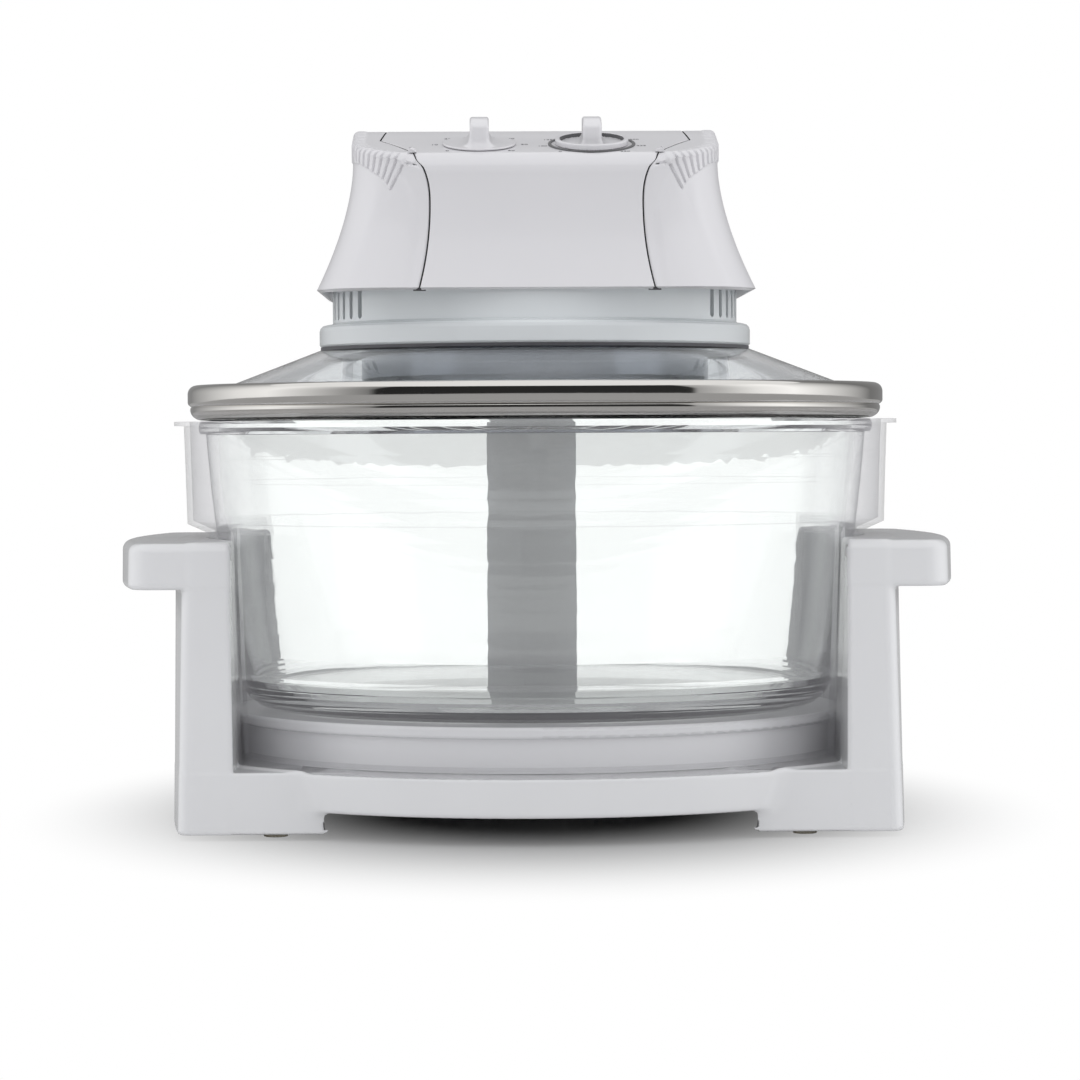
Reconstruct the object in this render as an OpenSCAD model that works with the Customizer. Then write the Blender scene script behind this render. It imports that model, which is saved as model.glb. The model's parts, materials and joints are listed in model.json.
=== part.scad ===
// Halogen oven: a glass bowl in a clear cool-touch tub on a white base, under a
// glass lid with a heater and fan head that is hinged at the rear.
// Millimetres, +Z up, floor at z = 0, front towards -Y.

/* [Bowl] */
// Outer radius of the glass bowl at the top of its wall
bowl_r = 157.5; // [152:0.5:162]
// How much narrower the bowl is where its bottom corner starts
bowl_draft = 15.5; // [14:0.5:24]
// Height of the bowl from its foot to the top of its rim
bowl_h = 136.1; // [120:0.5:160]
// Thickness of the bowl's wall
bowl_wall = 5; // [3.5:0.1:6]
// Thickness of the bowl's floor
bowl_floor = 7; // [5:0.1:9]
// Radius of the bowl's bottom corner
bowl_corner = 16; // [12:0.5:20]
// How far the bowl's rim stands out from its wall
bowl_rim_out = 3.5; // [2:0.1:4]
// Height of the bowl's rim
bowl_rim_h = 6; // [4:0.1:8]
// How much the bowl's wall bulges outwards at half height
bowl_bulge = 1.6; // [0.5:0.1:2]

/* [Tub] */
// Gap from the bowl's wall to the outside of the tub at the top
tub_gap = 10.5; // [9:0.1:14]
// How much narrower the tub is at its bottom
tub_draft = 1.5; // [0:0.1:3]
// Wall thickness of the clear tub
tub_wall = 2.8; // [2:0.1:3]
// Width of the flange around the tub's top
tub_flange_w = 4.5; // [3:0.1:7]
// Thickness of the tub's flange
tub_flange_t = 2; // [1.5:0.1:3]
// How far the side recess cuts in at the tub's bottom, at its flat faces
recess_flat_cut = 29.5; // [27:0.5:31]
// How much wider the recess's flat faces stand at the top
recess_flat_draft = 3.2; // [1:0.1:4]
// Gap between the bowl's wall and the recess's round face at the shoulder
recess_top_gap = 0.4; // [0.3:0.1:2]
// Depth of the recess's shoulder below the tub's top at the outer wall
recess_top_drop = 48.5; // [46:0.5:52]
// Fall of the recess's shoulder for each millimetre inwards
recess_slope = 0.45; // [0.3:0.05:0.5]

/* [Base] */
// Height of the foot pads
pad_h = 2.6; // [2:0.1:5]
// Radius of the foot pads
pad_r = 5.5; // [4:0.1:7]
// Distance of the pads inwards from the stands' outer faces
pad_in = 52; // [35:1:66]
// Distance of the pads from the middle, front and rear
pad_y = 118; // [100:1:122]
// Height from the underside of the feet to the deck
base_h = 26.9; // [22:0.1:32]
// Height of the front and rear bars above the underside of the feet
bar_lift = 9.5; // [6:0.1:12]
// How far the base's round edge stands out past the tub's bottom
bar_out = 2.5; // [1:0.1:4]
// Wall thickness of the white mouldings
shell = 3; // [2.5:0.1:3.5]
// Width of the foot blocks, from the stands' outer faces inwards
foot_w = 82; // [70:1:90]
// Half the depth of the side stands at the floor
stand_bottom_y = 137; // [130:1:142]
// Half the depth of the side stands at their top
stand_top_y = 101; // [96:1:115]
// How far the side stands reach out past the tub's top at the middle
stand_out = 3; // [2:0.5:6]
// How much the side faces and handles bow outwards
side_bow = 9; // [4:0.5:12]
// Corner radius of the stands and handles
stand_corner = 15; // [8:1:18]
// How far the handles reach out from the stands
handle_reach = 25; // [20:1:35]
// Thickness of the handles
handle_t = 20.9; // [16:0.1:24]
// Height of the stands and handles above the underside of the feet
stand_h = 128.7; // [124:0.1:129]
// Clearance between the tub and the stands
tub_clear = 0.4; // [0.3:0.1:1]

/* [Seat] */
// How far the seat's bead stands out past the bowl's base
seat_out = 4; // [2:0.1:5]
// Gap between the seat's bead and the round wall of the tub's recess
seat_gap = 1.2; // [0.5:0.1:2]
// Height of the seat above the deck
seat_h = 20.8; // [16:0.1:24]
// Height of the seat's bead
seat_bead_h = 5.3; // [4:0.1:7]
// How far the seat's wall stands back under the bead
seat_step = 3; // [2:0.1:6]
// Wall thickness of the seat
seat_wall = 3; // [2:0.1:4]
// Width of the seat's plate from its bead to its hole
seat_ledge = 46; // [36:1:60]

/* [Lid] */
// How far the lid's steel rim stands out past the bowl's wall
rim_out = 8.5; // [8:0.1:9.5]
// Height of the lid's steel rim
rim_h = 16.9; // [15:0.1:20]
// Height of the rolled lower band of the rim
rim_roll_h = 6.5; // [5:0.1:7.5]
// How far the rolled lower band turns inwards
rim_roll_in = 5.5; // [4:0.1:6]
// Sheet thickness of the steel rim
rim_t = 0.8; // [0.6:0.1:1.2]
// Thickness of the lid's glass
glass_t = 4; // [3:0.1:5]
// Width of the flat edge around the lid, from the rim's outside to the cone
lid_edge_w = 18.4; // [16:0.1:24]
// Radius of the lid glass's flat top
crown_r = 103; // [102:0.5:106]
// Height of the cone from the flat edge to the flat top
cone_h = 17.1; // [14:0.1:20]
// Width of the glass's flat top around its hole
glass_ledge = 8.5; // [7.5:0.1:10]

/* [Hinge] */
// Distance of the hinge's axis behind the bowl's wall
hinge_back = 23.5; // [22.5:0.1:26]
// Height of the hinge's axis above the bowl's rim
hinge_up = 12; // [11:0.1:14]
// Radius of the hinge pin
pin_r = 3; // [2.5:0.1:3.5]
// Outer radius of the hinge ears and the knuckle
ear_r = 6.5; // [6:0.1:7]
// Half the width of the hinge post
post_x = 24; // [20:0.5:30]
// Depth of the hinge post, front to rear
post_t = 12; // [10:0.5:14]
// Half the width of the hinge's knuckle
knuckle_x = 13.5; // [10:0.5:15]
// Thickness of the steel hinge strap
strap_t = 2.5; // [2:0.1:3]
// Length of the strap on the rim's top
strap_l = 16; // [12:0.5:18]

/* [Neck] */
// Height of the neck's lip
lip_h = 10.5; // [8:0.1:13]
// How far the neck stands back from its lip
neck_step = 6.4; // [5:0.1:8]
// Height of the neck above its lip up to the head's flange
neck_h = 17; // [15:0.5:22]
// Wall thickness of the neck
neck_wall = 2.8; // [2:0.1:3.5]
// Number of vent slots on each side
slots = 13; // [8:1:14]
// Angle between two vent slots
slot_pitch = 5.3; // [4.6:0.1:5.5]
// Width of a vent slot
slot_w = 3.5; // [2.5:0.1:4]
// Thickness of the gasket under the lip
neck_gasket_t = 1.5; // [1:0.1:2.5]

/* [Head cover] */
// Half the width of the cover at its bottom edge
cover_half = 101.2; // [99:0.1:104]
// How much narrower the cover is at its top on each side
cover_flare = 16.4; // [12:0.1:18]
// Corner radius of the cover in plan
cover_corner = 34; // [28:1:38]
// Height of the cover from its bottom edge to its crown
cover_h = 76.7; // [74:0.1:84]
// Height of the flared part
flare_h = 58; // [50:0.5:60]
// Wall thickness of the cover
cover_wall = 2.5; // [2:0.1:3]
// Slope of the control panel in degrees
panel_slope = 15; // [12:0.5:17]
// Distance from the middle to where the control panel levels out
panel_back = 32; // [24:0.5:36]
// Half the width of the centre cover at its narrowest
seam_half = 48.6; // [47:0.1:51]
// Width of the seam between the covers
seam_gap = 0.8; // [0.4:0.1:1.2]

/* [Controls] */
// Sideways distance of each knob from the middle
knob_x = 26; // [23:0.5:30]
// Distance of the knobs behind the front edge of the control panel
knob_in = 24.8; // [23:0.1:29]
// Radius of the timer knob's disc
timer_disc_r = 17; // [14:0.5:18]
// Radius of the thermostat knob's disc
thermo_disc_r = 15; // [13:0.5:16]
// Outer radius of the dark ring around the thermostat knob
dial_ring_r = 20; // [18:0.5:20.5]
// Thickness of a knob's disc
disc_t = 2.4; // [2:0.1:4]
// Height of a knob's blade above the panel
blade_h = 12.6; // [10:0.1:14]
// Width of a knob's blade
blade_w = 9; // [8.5:0.1:11]
// Radius of a knob's shaft
shaft_r = 3; // [2.5:0.1:3.2]
// Running clearance of shafts and pins
run = 0.05; // [0.02:0.01:0.08]
// Clearance between parts that only sit together
sit = 0.3; // [0.2:0.05:0.4]

/* [Carry handle] */
// Half the width of the carry handle
carry_x = 46; // [40:0.5:50]
// Distance of the handle's pivot behind the middle
carry_pivot_y = 60; // [54:0.5:62]
// Distance from the pivot to the front of the handle
carry_l = 66; // [58:0.5:68]
// Width of the handle's arms and crown
carry_w = 9; // [8:0.5:12]
// Thickness of the handle
carry_t = 8; // [7:0.1:9]
// Radius of the handle's pivot pins
carry_pin_r = 2; // [1.5:0.1:2.5]

/* [Heater] */
// How far the steel reflector stands in from the lip
dish_in = 20; // [19.5:0.5:25]
// Height of the steel reflector
dish_h = 24; // [20:0.5:26]
// Sheet thickness of the reflector
dish_t = 0.8; // [0.6:0.1:1.2]
// How far the lamp's ring stands in from the reflector's wall
lamp_in = 21; // [19:0.5:27]
// Radius of the lamp's glass tube
lamp_tube_r = 5; // [4:0.1:5.5]
// Radius of a wire of the guard
wire_r = 1.1; // [0.8:0.1:1.5]

/* [Motor] */
// Radius of the motor's shaft
motor_shaft_r = 2.5; // [2:0.1:3]
// Radius of the motor's rotor
rotor_r = 12; // [10:0.5:13]
// Height of the motor's laminated core
core_h = 18; // [14:0.5:20]
// Radius of the hot-air fan
hot_fan_r = 44; // [36:1:48]
// Radius of the cooling fan
cool_fan_r = 54; // [44:1:56]
// Number of blades on each fan
fan_blades = 6; // [4:1:8]

/* [Hidden] */
$fn = 96;
eps = 0.01;
over = 1;

// Heights, from the floor up
foot_z = pad_h;
deck_z = foot_z + base_h;
bar_z = foot_z + bar_lift;
stand_top_z = foot_z + stand_h;
seat_z = deck_z + seat_h;
bowl_z = seat_z + sit;
bowl_top = bowl_z + bowl_h;
rim_z = bowl_top + sit;
rim_top = rim_z + rim_h;
glass_edge_z = rim_top - rim_t - glass_t;
glass_top = glass_edge_z + glass_t + cone_h;
lip_z = glass_top + neck_gasket_t;
neck_z = lip_z + lip_h;
flange_z = neck_z + neck_h;
flange_t = 2.5;
cover_z = flange_z - flange_t;
crown_z = cover_z + cover_h;

// Radii and half widths
bowl_base_r = bowl_r - bowl_draft;
seat_r = bowl_base_r + seat_out;
seat_hole_r = seat_r - seat_ledge;
seat_screw_at = seat_r - 26;
tub_top_r = bowl_r + tub_gap;
tub_foot_r = tub_top_r - tub_draft;
base_r = tub_foot_r + bar_out;
flat_x = tub_foot_r - recess_flat_cut;
round_r = seat_r + seat_gap + tub_wall;
shoulder_z = bowl_top - recess_top_drop;
rim_r = bowl_r + rim_out;
cone_r = rim_r - lid_edge_w;
roll_r = rim_r - rim_roll_in;
stand_x = tub_top_r + stand_out;
handle_x = stand_x + handle_reach;
pad_x = stand_x - pad_in;
foot_inner_x = stand_x - foot_w;

// The hinge and the place of the whole part over the origin
hinge_y = bowl_r + hinge_back;
hinge_z = bowl_top + hinge_up;
post_y = tub_top_r + 1.3;
front_y = tub_top_r + tub_flange_w;
rear_y = hinge_y + ear_r;
bowl_y = (front_y - rear_y) / 2;

// The head
glass_hole_r = crown_r - glass_ledge;
neck_r = crown_r - neck_step;
dish_r = crown_r - dish_in;
dish_screw_at = crown_r - 14;
lamp_ring_r = dish_r - lamp_in;
dish_top = glass_top + dish_t;
dish_z = dish_top - dish_h;
dish_corner = 8;
shield_t = 1;
shield_z = dish_top + 5;
shield_r = neck_r - neck_wall - 4;
leg_r = 3;
leg_at = 44;
bracket_t = 2;
bracket_z = shield_z + 17;
bearing_r = 6;
bearing_h = 7;
boss_r = bearing_r + 2;
core_z = bracket_z + bracket_t + bearing_h - 2;
core_x = 26;
core_front = 18;
core_rear = 36;
upper_z = core_z + core_h + 2;
rotor_gap = 0.6;
pillar_x = 20;
lamp_z = dish_z + lamp_tube_r + 5;
hot_fan_z = dish_top - 12;
cool_fan_z = shield_z + 4;
fan_h = 9;
panel_front = cover_half - cover_flare;
panel_rise = tan(panel_slope);
knob_y = panel_front - knob_in;
break_z = crown_z - 1.8 - (panel_front - panel_back) * panel_rise;
knob_z = break_z + (panel_front - knob_y) * panel_rise;
tray_floor = crown_z - carry_t - 1.5;
tray_wall = 2;
tray_gap = 1.5;
carry_z = tray_floor + 0.5 + carry_t / 2;
boss_at = cover_half - 28.7;
screw_l = 12;
cover_boss_r = 5.5;
screw_r = 1.8;

module ring(r_out, r_in, h) {
    difference() {
        cylinder(r = r_out, h = h);
        translate([0, 0, -over]) cylinder(r = r_in, h = h + 2 * over);
    }
}

module mirror_x() {
    children();
    mirror([1, 0, 0]) children();
}

module four_ways(x, y) {
    for (sx = [-1, 1], sy = [-1, 1]) translate([sx * x, sy * y, 0]) children();
}

// Base

function stand_y(z) = stand_bottom_y + (stand_top_y - stand_bottom_y) * (z - foot_z) / stand_h;

// One level slice of a side stand: round outer corners and a bowed outer face.
module stand_slice(x_in, x_out, z, inset) {
    r = stand_corner - inset;
    y = stand_y(z) - inset - r;
    translate([0, 0, z]) linear_extrude(eps) {
        for (t = [-1:0.25:1]) translate([x_out - inset - r - side_bow * t * t, y * t]) {
            circle(r = r, $fn = 32);
        }
        translate([x_in + inset, -y - r]) square([r, 2 * (y + r)]);
    }
}

module stand_block(x_in, x_out, z0, z1, inset = 0) {
    hull() {
        stand_slice(x_in, x_out, z0, inset);
        stand_slice(x_in, x_out, z1 - eps, inset);
    }
}

module side_stand() {
    stand_block(foot_inner_x, stand_x, foot_z, deck_z);
    stand_block(flat_x, stand_x, deck_z - shell, stand_top_z);
    stand_block(flat_x, handle_x, stand_top_z - handle_t, stand_top_z);
}

// The hollow of a stand and its handle, open from below.
module stand_hollow() {
    stand_block(foot_inner_x, stand_x, foot_z - over, deck_z - shell, shell + 0.5);
    difference() {
        union() {
            stand_block(flat_x, stand_x, foot_z - over, stand_top_z - shell, shell);
            stand_block(flat_x, handle_x, stand_top_z - handle_t + shell, stand_top_z - shell, shell);
        }
        tub_body(-tub_clear - shell);
        translate([0, 0, -shell]) tub_body(-tub_clear - shell);
    }
}

module base_frame() {
    boss_x = post_x + 6;
    color("white") difference() {
        union() {
            difference() {
                union() {
                    translate([0, 0, bar_z]) ring(base_r, base_r - shell, deck_z - bar_z);
                    translate([0, 0, deck_z - shell]) cylinder(r = base_r, h = shell);
                    mirror_x() side_stand();
                }
                mirror_x() stand_hollow();
                tub_body(-tub_clear);
            }
            intersection() {
                four_ways(pad_x, pad_y) translate([0, 0, foot_z]) cylinder(r = pad_r + 2, h = base_h);
                mirror_x() stand_block(foot_inner_x, stand_x, foot_z, deck_z);
            }
            translate([-boss_x, base_r - 20, bar_z]) {
                cube([2 * boss_x, post_y + post_t - base_r + 23, deck_z - bar_z]);
            }
        }
        for (a = [0:60:359]) rotate(a + 30) translate([seat_screw_at, 0, 0]) {
            cylinder(r = screw_r + 0.4, h = deck_z + over, $fn = 24);
        }
        for (x = [-post_screw_x, post_screw_x]) translate([x, post_y + post_t / 2, 0]) {
            cylinder(r = screw_r + 0.4, h = deck_z + over, $fn = 24);
        }
    }
}

module foot_pads() {
    color("cornsilk") four_ways(pad_x, pad_y) cylinder(r = pad_r, h = pad_h);
}

// Tub: a round body kept between two flat faces and a round core below the shoulders.
// The recess's round face fits around the seat at its bottom and around the bowl at the shoulder.
function bowl_r_at(z) = bowl_wall_r((z - bowl_z - bowl_corner) / (bowl_h - bowl_rim_h - bowl_corner), 0);
recess_round_draft = bowl_r_at(shoulder_z) + recess_top_gap + tub_wall - round_r;
module tub_body(inset) {
    z0 = deck_z + (inset > 0 ? inset : 0);
    top = bowl_top + over;
    far = tub_top_r + 20;
    top_x = flat_x + recess_flat_draft;
    core_z1 = shoulder_z - recess_slope * (tub_foot_r - round_r - recess_round_draft);
    flat_z1 = shoulder_z - recess_slope * (tub_foot_r - flat_x - recess_flat_draft);
    intersection() {
        rotate_extrude() polygon([[0, z0], [tub_foot_r - inset, z0], [tub_foot_r - inset, shoulder_z],
            [tub_top_r - inset, top], [0, top]]);
        union() {
            rotate_extrude() polygon([[0, z0 - over], [round_r - inset, z0 - over],
                [round_r + recess_round_draft - inset, core_z1 + over], [0, core_z1 + over]]);
            rotate([90, 0, 0]) translate([0, 0, -far]) linear_extrude(2 * far) polygon([
                [inset - flat_x, z0 - over], [flat_x - inset, z0 - over],
                [top_x - inset, flat_z1], [top_x - inset, shoulder_z + over],
                [inset - top_x, shoulder_z + over], [inset - top_x, flat_z1]]);
            rotate_extrude() polygon([[0, shoulder_z - recess_slope * tub_foot_r + inset], [far, shoulder_z
                + recess_slope * (far - tub_foot_r) + inset], [far, top + over], [0, top + over]]);
        }
    }
}

module cool_touch_tub() {
    color("lavender", 0.35) difference() {
        union() {
            difference() {
                tub_body(0);
                tub_body(tub_wall);
                translate([0, 0, bowl_top]) cylinder(r = tub_top_r + 5, h = 5);
            }
            translate([0, 0, bowl_top - tub_flange_t]) {
                ring(tub_top_r + tub_flange_w, tub_top_r - 1, tub_flange_t);
            }
        }
        translate([0, 0, deck_z - over]) cylinder(r = seat_r - seat_step + 0.5, h = tub_wall + 2 * over);
        translate([-post_x - 1, tub_top_r + 0.3, bowl_top - 5]) cube([2 * post_x + 2, 20, 10]);
    }
}

module bowl_seat() {
    wall_r = seat_r - seat_step;
    plate_t = 3.3;
    bead = 1.6;
    color("white") difference() {
        union() {
            translate([0, 0, deck_z]) ring(wall_r, wall_r - seat_wall, seat_h - plate_t);
            translate([0, 0, seat_z - plate_t]) ring(wall_r, seat_hole_r, plate_t);
            rotate_extrude() translate([0, seat_z - seat_bead_h]) difference() {
                union() {
                    translate([wall_r - seat_wall, 0]) square([seat_wall + seat_step - bead, seat_bead_h]);
                    translate([wall_r - seat_wall, bead]) {
                        square([seat_wall + seat_step, seat_bead_h - 2 * bead]);
                    }
                    translate([seat_r - bead, bead]) circle(r = bead, $fn = 24);
                    translate([seat_r - bead, seat_bead_h - bead]) circle(r = bead, $fn = 24);
                }
            }
            for (a = [0:60:359]) rotate(a + 30) translate([seat_screw_at, 0, deck_z]) {
                cylinder(r = screw_r + 3, h = seat_h - plate_t + eps);
            }
        }
        for (a = [0:60:359]) rotate(a + 30) translate([seat_screw_at, 0, deck_z - over]) {
            cylinder(r = screw_r + run, h = screw_l);
        }
    }
}

module screw(length, head_r = 3.4, head_h = 2) {
    translate([0, 0, -head_h]) cylinder(r = head_r, h = head_h);
    cylinder(r = screw_r, h = length);
}

module seat_screws() {
    color("silver") for (a = [0:60:359]) rotate(a + 30) {
        translate([seat_screw_at, 0, deck_z - shell]) screw(screw_l);
    }
}

// Bowl

function bowl_wall_r(t, inset) =
    bowl_base_r + (bowl_r - bowl_base_r) * t + 4 * bowl_bulge * t * (1 - t) - inset;

module glass_bowl() {
    z1 = bowl_z + bowl_corner;
    rim_z0 = bowl_top - bowl_rim_h;
    inner_corner = bowl_corner - bowl_wall;
    floor_z = bowl_z + bowl_floor;
    outer = [for (a = [-90:15:0]) [bowl_base_r - bowl_corner + bowl_corner * cos(a),
        z1 + bowl_corner * sin(a)]];
    wall_out = [for (t = [0.1:0.1:1]) [bowl_wall_r(t, 0), z1 + (rim_z0 - z1) * t]];
    rim_out_r = bowl_r + bowl_rim_out;
    rim = [for (a = [-60:30:60]) [rim_out_r - 2 + 2 * cos(a),
        rim_z0 + bowl_rim_h / 2 + (bowl_rim_h / 2) * sin(a) / sin(60)]];
    inner_top = [[bowl_r - bowl_wall + 0.8, bowl_top], [bowl_r - bowl_wall, bowl_top - 1.2]];
    wall_in = [for (t = [1:-0.1:0.1]) [bowl_wall_r(t, bowl_wall), z1 + (rim_z0 - z1) * t]];
    inner = [for (a = [0:-15:-90]) [bowl_base_r - bowl_corner + inner_corner * cos(a),
        floor_z + inner_corner + inner_corner * sin(a)]];
    color("powderblue", 0.35) rotate_extrude($fn = 120) polygon(concat([[0, bowl_z]], outer, wall_out, rim,
        inner_top, wall_in, inner, [[0, floor_z]]));
}

// Hinge

post_screw_x = 14;
module lug(x0, x1, r) {
    drop = hinge_z - (bowl_top + 3);
    translate([x0, hinge_y, hinge_z]) rotate([0, 90, 0]) cylinder(r = r, h = x1 - x0);
    translate([x0, hinge_y - r, hinge_z - drop]) cube([x1 - x0, post_y + post_t - hinge_y + r, drop]);
}

module hinge_post() {
    color("white") difference() {
        union() {
            translate([-post_x, post_y, deck_z]) cube([2 * post_x, post_t, bowl_top + 3 - deck_z]);
            mirror_x() lug(knuckle_x + sit, post_x, ear_r);
        }
        translate([-post_x - over, hinge_y, hinge_z]) rotate([0, 90, 0]) {
            cylinder(r = pin_r + run, h = 2 * (post_x + over));
        }
        translate([-knuckle_x - sit, hinge_y - ear_r - 1, bowl_top - 1]) {
            cube([2 * (knuckle_x + sit), 2 * ear_r + 4, 10]);
        }
        for (x = [-post_screw_x, post_screw_x]) translate([x, post_y + post_t / 2, deck_z - over]) {
            cylinder(r = screw_r + run, h = 20);
        }
    }
}

module post_screws() {
    color("silver") for (x = [-post_screw_x, post_screw_x]) {
        translate([x, post_y + post_t / 2, bar_z]) screw(deck_z - bar_z + 16);
    }
}

module hinge_pin() {
    color("silver") translate([-post_x - 1, hinge_y, hinge_z]) rotate([0, 90, 0]) {
        cylinder(r = pin_r, h = 2 * post_x + 2);
        translate([0, 0, -1.5]) cylinder(r = pin_r + 1.5, h = 1.5);
        translate([0, 0, 2 * post_x + 2]) cylinder(r = pin_r + 1.5, h = 1.5);
    }
}

strap_z = rim_top + sit;
rivet_x = 17;
module hinge_strap() {
    y0 = rim_r - strap_l - 1;
    color("gainsboro") difference() {
        union() {
            translate([-post_x, y0, strap_z]) cube([2 * post_x, strap_l, strap_t]);
            translate([-knuckle_x, y0, strap_z]) cube([2 * knuckle_x, hinge_y - y0, strap_t]);
            translate([-knuckle_x, hinge_y, hinge_z]) {
                rotate([0, 90, 0]) cylinder(r = ear_r, h = 2 * knuckle_x);
                translate([0, -ear_r, 0]) cube([2 * knuckle_x, ear_r, strap_z + strap_t - hinge_z]);
            }
        }
        translate([-post_x - over, hinge_y, hinge_z]) rotate([0, 90, 0]) {
            cylinder(r = pin_r + run, h = 2 * (post_x + over));
        }
        for (x = [-rivet_x, rivet_x]) translate([x, y0 + strap_l / 2, strap_z - over]) {
            cylinder(r = 2 + run, h = 10);
        }
    }
}

module strap_rivets() {
    y0 = rim_r - strap_l - 1;
    color("silver") for (x = [-rivet_x, rivet_x]) translate([x, y0 + strap_l / 2, 0]) {
        translate([0, 0, rim_top]) cylinder(r = 2, h = sit + strap_t + 0.1);
        translate([0, 0, strap_z + strap_t]) cylinder(r = 4, h = 1.4);
    }
}

// Lid

module lid_glass() {
    edge_r = rim_r - rim_corner - 0.1;
    z0 = glass_edge_z;
    z1 = z0 + cone_h;
    color("azure", 0.4) rotate_extrude($fn = 120) polygon([[glass_hole_r, z1], [crown_r - 1, z1],
        [cone_r - 1, z0], [edge_r, z0], [edge_r, z0 + glass_t], [cone_r, z0 + glass_t],
        [crown_r, z1 + glass_t], [glass_hole_r, z1 + glass_t]]);
}

// The outer line of the rim's section, drawn in by an inset.
rim_corner = 3;
function rim_line(inset) = concat(
    [[cone_r + 1, rim_top - inset], [rim_r - rim_corner, rim_top - inset]],
    [for (a = [75:-25:0]) [rim_r - rim_corner + (rim_corner - inset) * cos(a),
        rim_top - rim_corner + (rim_corner - inset) * sin(a)]],
    [[rim_r - inset, rim_z + rim_roll_h + 0.8], [rim_r - 1.4 - inset, rim_z + rim_roll_h]],
    [for (a = [25:-15:-80]) [roll_r + (rim_roll_in - 0.8 - inset) * cos(a),
        rim_z + rim_roll_h - 2 + (rim_roll_h - 2 - inset) * (sin(a) - sin(25)) / (1 + sin(25))]],
    [[roll_r - 4, rim_z + inset]]);

function backwards(list) = [for (i = [len(list) - 1:-1:0]) list[i]];

module lid_rim() {
    color("silver") rotate_extrude($fn = 120) polygon(concat(rim_line(0), backwards(rim_line(rim_t))));
}

module lid_gasket() {
    z0 = rim_z + rim_t + 0.15;
    color("dimgray") translate([0, 0, z0]) ring(roll_r, roll_r - 3.5, glass_edge_z - z0);
}

// Neck

module neck_gasket() {
    color("dimgray") translate([0, 0, glass_top]) ring(crown_r - 0.5, crown_r - 4, neck_gasket_t);
}

module square_round(half, r, h) {
    for (s = [0, 1]) rotate(90 * s) translate([r - half, -half, 0]) cube([2 * (half - r), 2 * half, h]);
    four_ways(half - r, half - r) cylinder(r = r, h = h);
}

module neck_housing() {
    r_in = neck_r - neck_wall;
    lip_round = 3;
    flange_half = cover_half_at(flange_z + flange_t) - cover_wall - sit;
    first = 90 - slot_pitch * (slots - 1) / 2;
    color("white") difference() {
        union() {
            rotate_extrude() polygon(concat(
                [[r_in, lip_z + 0.5], [r_in + 1, lip_z], [crown_r - 1, lip_z], [crown_r, lip_z + 1]],
                [for (a = [0:30:90]) [crown_r - lip_round + lip_round * cos(a),
                    neck_z - lip_round + lip_round * sin(a)]],
                [[neck_r + 1, neck_z], [neck_r, neck_z + 1], [neck_r, flange_z + eps],
                    [r_in, flange_z + eps]]));
            translate([0, 0, flange_z]) square_round(flange_half, cover_corner - cover_wall, flange_t);
            for (a = [45:90:359]) rotate(a) translate([dish_screw_at, 0, lip_z + over]) {
                cylinder(r = screw_r + 3.5, h = neck_h);
            }
        }
        translate([0, 0, flange_z - over]) cylinder(r = r_in - 6, h = flange_t + 2 * over);
        for (side = [0, 180], i = [0:slots - 1]) rotate(side - 90 + first + slot_pitch * i) {
            translate([r_in - 4, 0, neck_z + 2 + slot_w / 2]) {
                rotate([0, 90, 0]) cylinder(r = slot_w / 2, h = 12);
                translate([0, -slot_w / 2, 0]) cube([12, slot_w, neck_h - slot_w / 2 - 4]);
            }
        }
        for (a = [45:90:359]) rotate(a) translate([dish_screw_at, 0, lip_z - over]) {
            cylinder(r = screw_r + run, h = screw_l);
        }
        four_ways(boss_at, boss_at) translate([0, 0, flange_z - over]) cylinder(r = screw_r + 0.4, h = 5);
        translate([0, 0, gland_z]) rotate([-90, 0, 0]) cylinder(r = gland_r, h = crown_r + over);
    }
}

// Heater

module reflector_dish() {
    dish_flange_r = crown_r - 4.5;
    r0 = dish_r - dish_corner;
    z0 = dish_z + dish_corner;
    color("lightsteelblue") difference() {
        rotate_extrude($fn = 120) polygon(concat(
            [[motor_shaft_r + 2, dish_top - dish_t], [dish_r - dish_t, dish_top - dish_t]],
            [for (a = [0:-15:-90]) [r0 + (dish_corner - dish_t) * cos(a),
                z0 + (dish_corner - dish_t) * sin(a)]],
            [for (a = [-90:15:0]) [r0 + dish_corner * cos(a), z0 + dish_corner * sin(a)]],
            [[dish_r, glass_top], [dish_flange_r, glass_top], [dish_flange_r, dish_top],
                [motor_shaft_r + 2, dish_top]]));
        for (a = [45:90:359]) rotate(a) translate([dish_screw_at, 0, glass_top - over]) {
            cylinder(r = screw_r + 0.4, h = 4);
        }
        translate([bulb_x, 0, dish_top - 3]) cylinder(r = bulb_r + 0.3, h = 6);
    }
}

module dish_screws() {
    color("silver") for (a = [45:90:359]) rotate(a) translate([dish_screw_at, 0, glass_top]) {
        cylinder(r = screw_r, h = screw_l);
        translate([0, 0, -2]) cylinder(r = 3, h = 2);
    }
}

module heater_lamp() {
    gap = 14;
    color("ivory", 0.6) {
        translate([0, 0, lamp_z]) rotate(gap - 90) rotate_extrude(angle = 360 - 2 * gap) {
            translate([lamp_ring_r, 0]) circle(r = lamp_tube_r, $fn = 48);
        }
    }
}

module lamp_holders() {
    gap = 14;
    w = 2 * lamp_tube_r + 4;
    color("ivory") for (s = [-1, 1]) difference() {
        rotate(s * gap - 90) translate([lamp_ring_r - w / 2, s * 3 - 6, lamp_z - w / 2]) {
            cube([w, 12, dish_top - dish_t - lamp_z + w / 2]);
        }
        translate([0, 0, lamp_z]) rotate_extrude() {
            translate([lamp_ring_r, 0]) circle(r = lamp_tube_r + run, $fn = 48);
        }
    }
}

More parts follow.
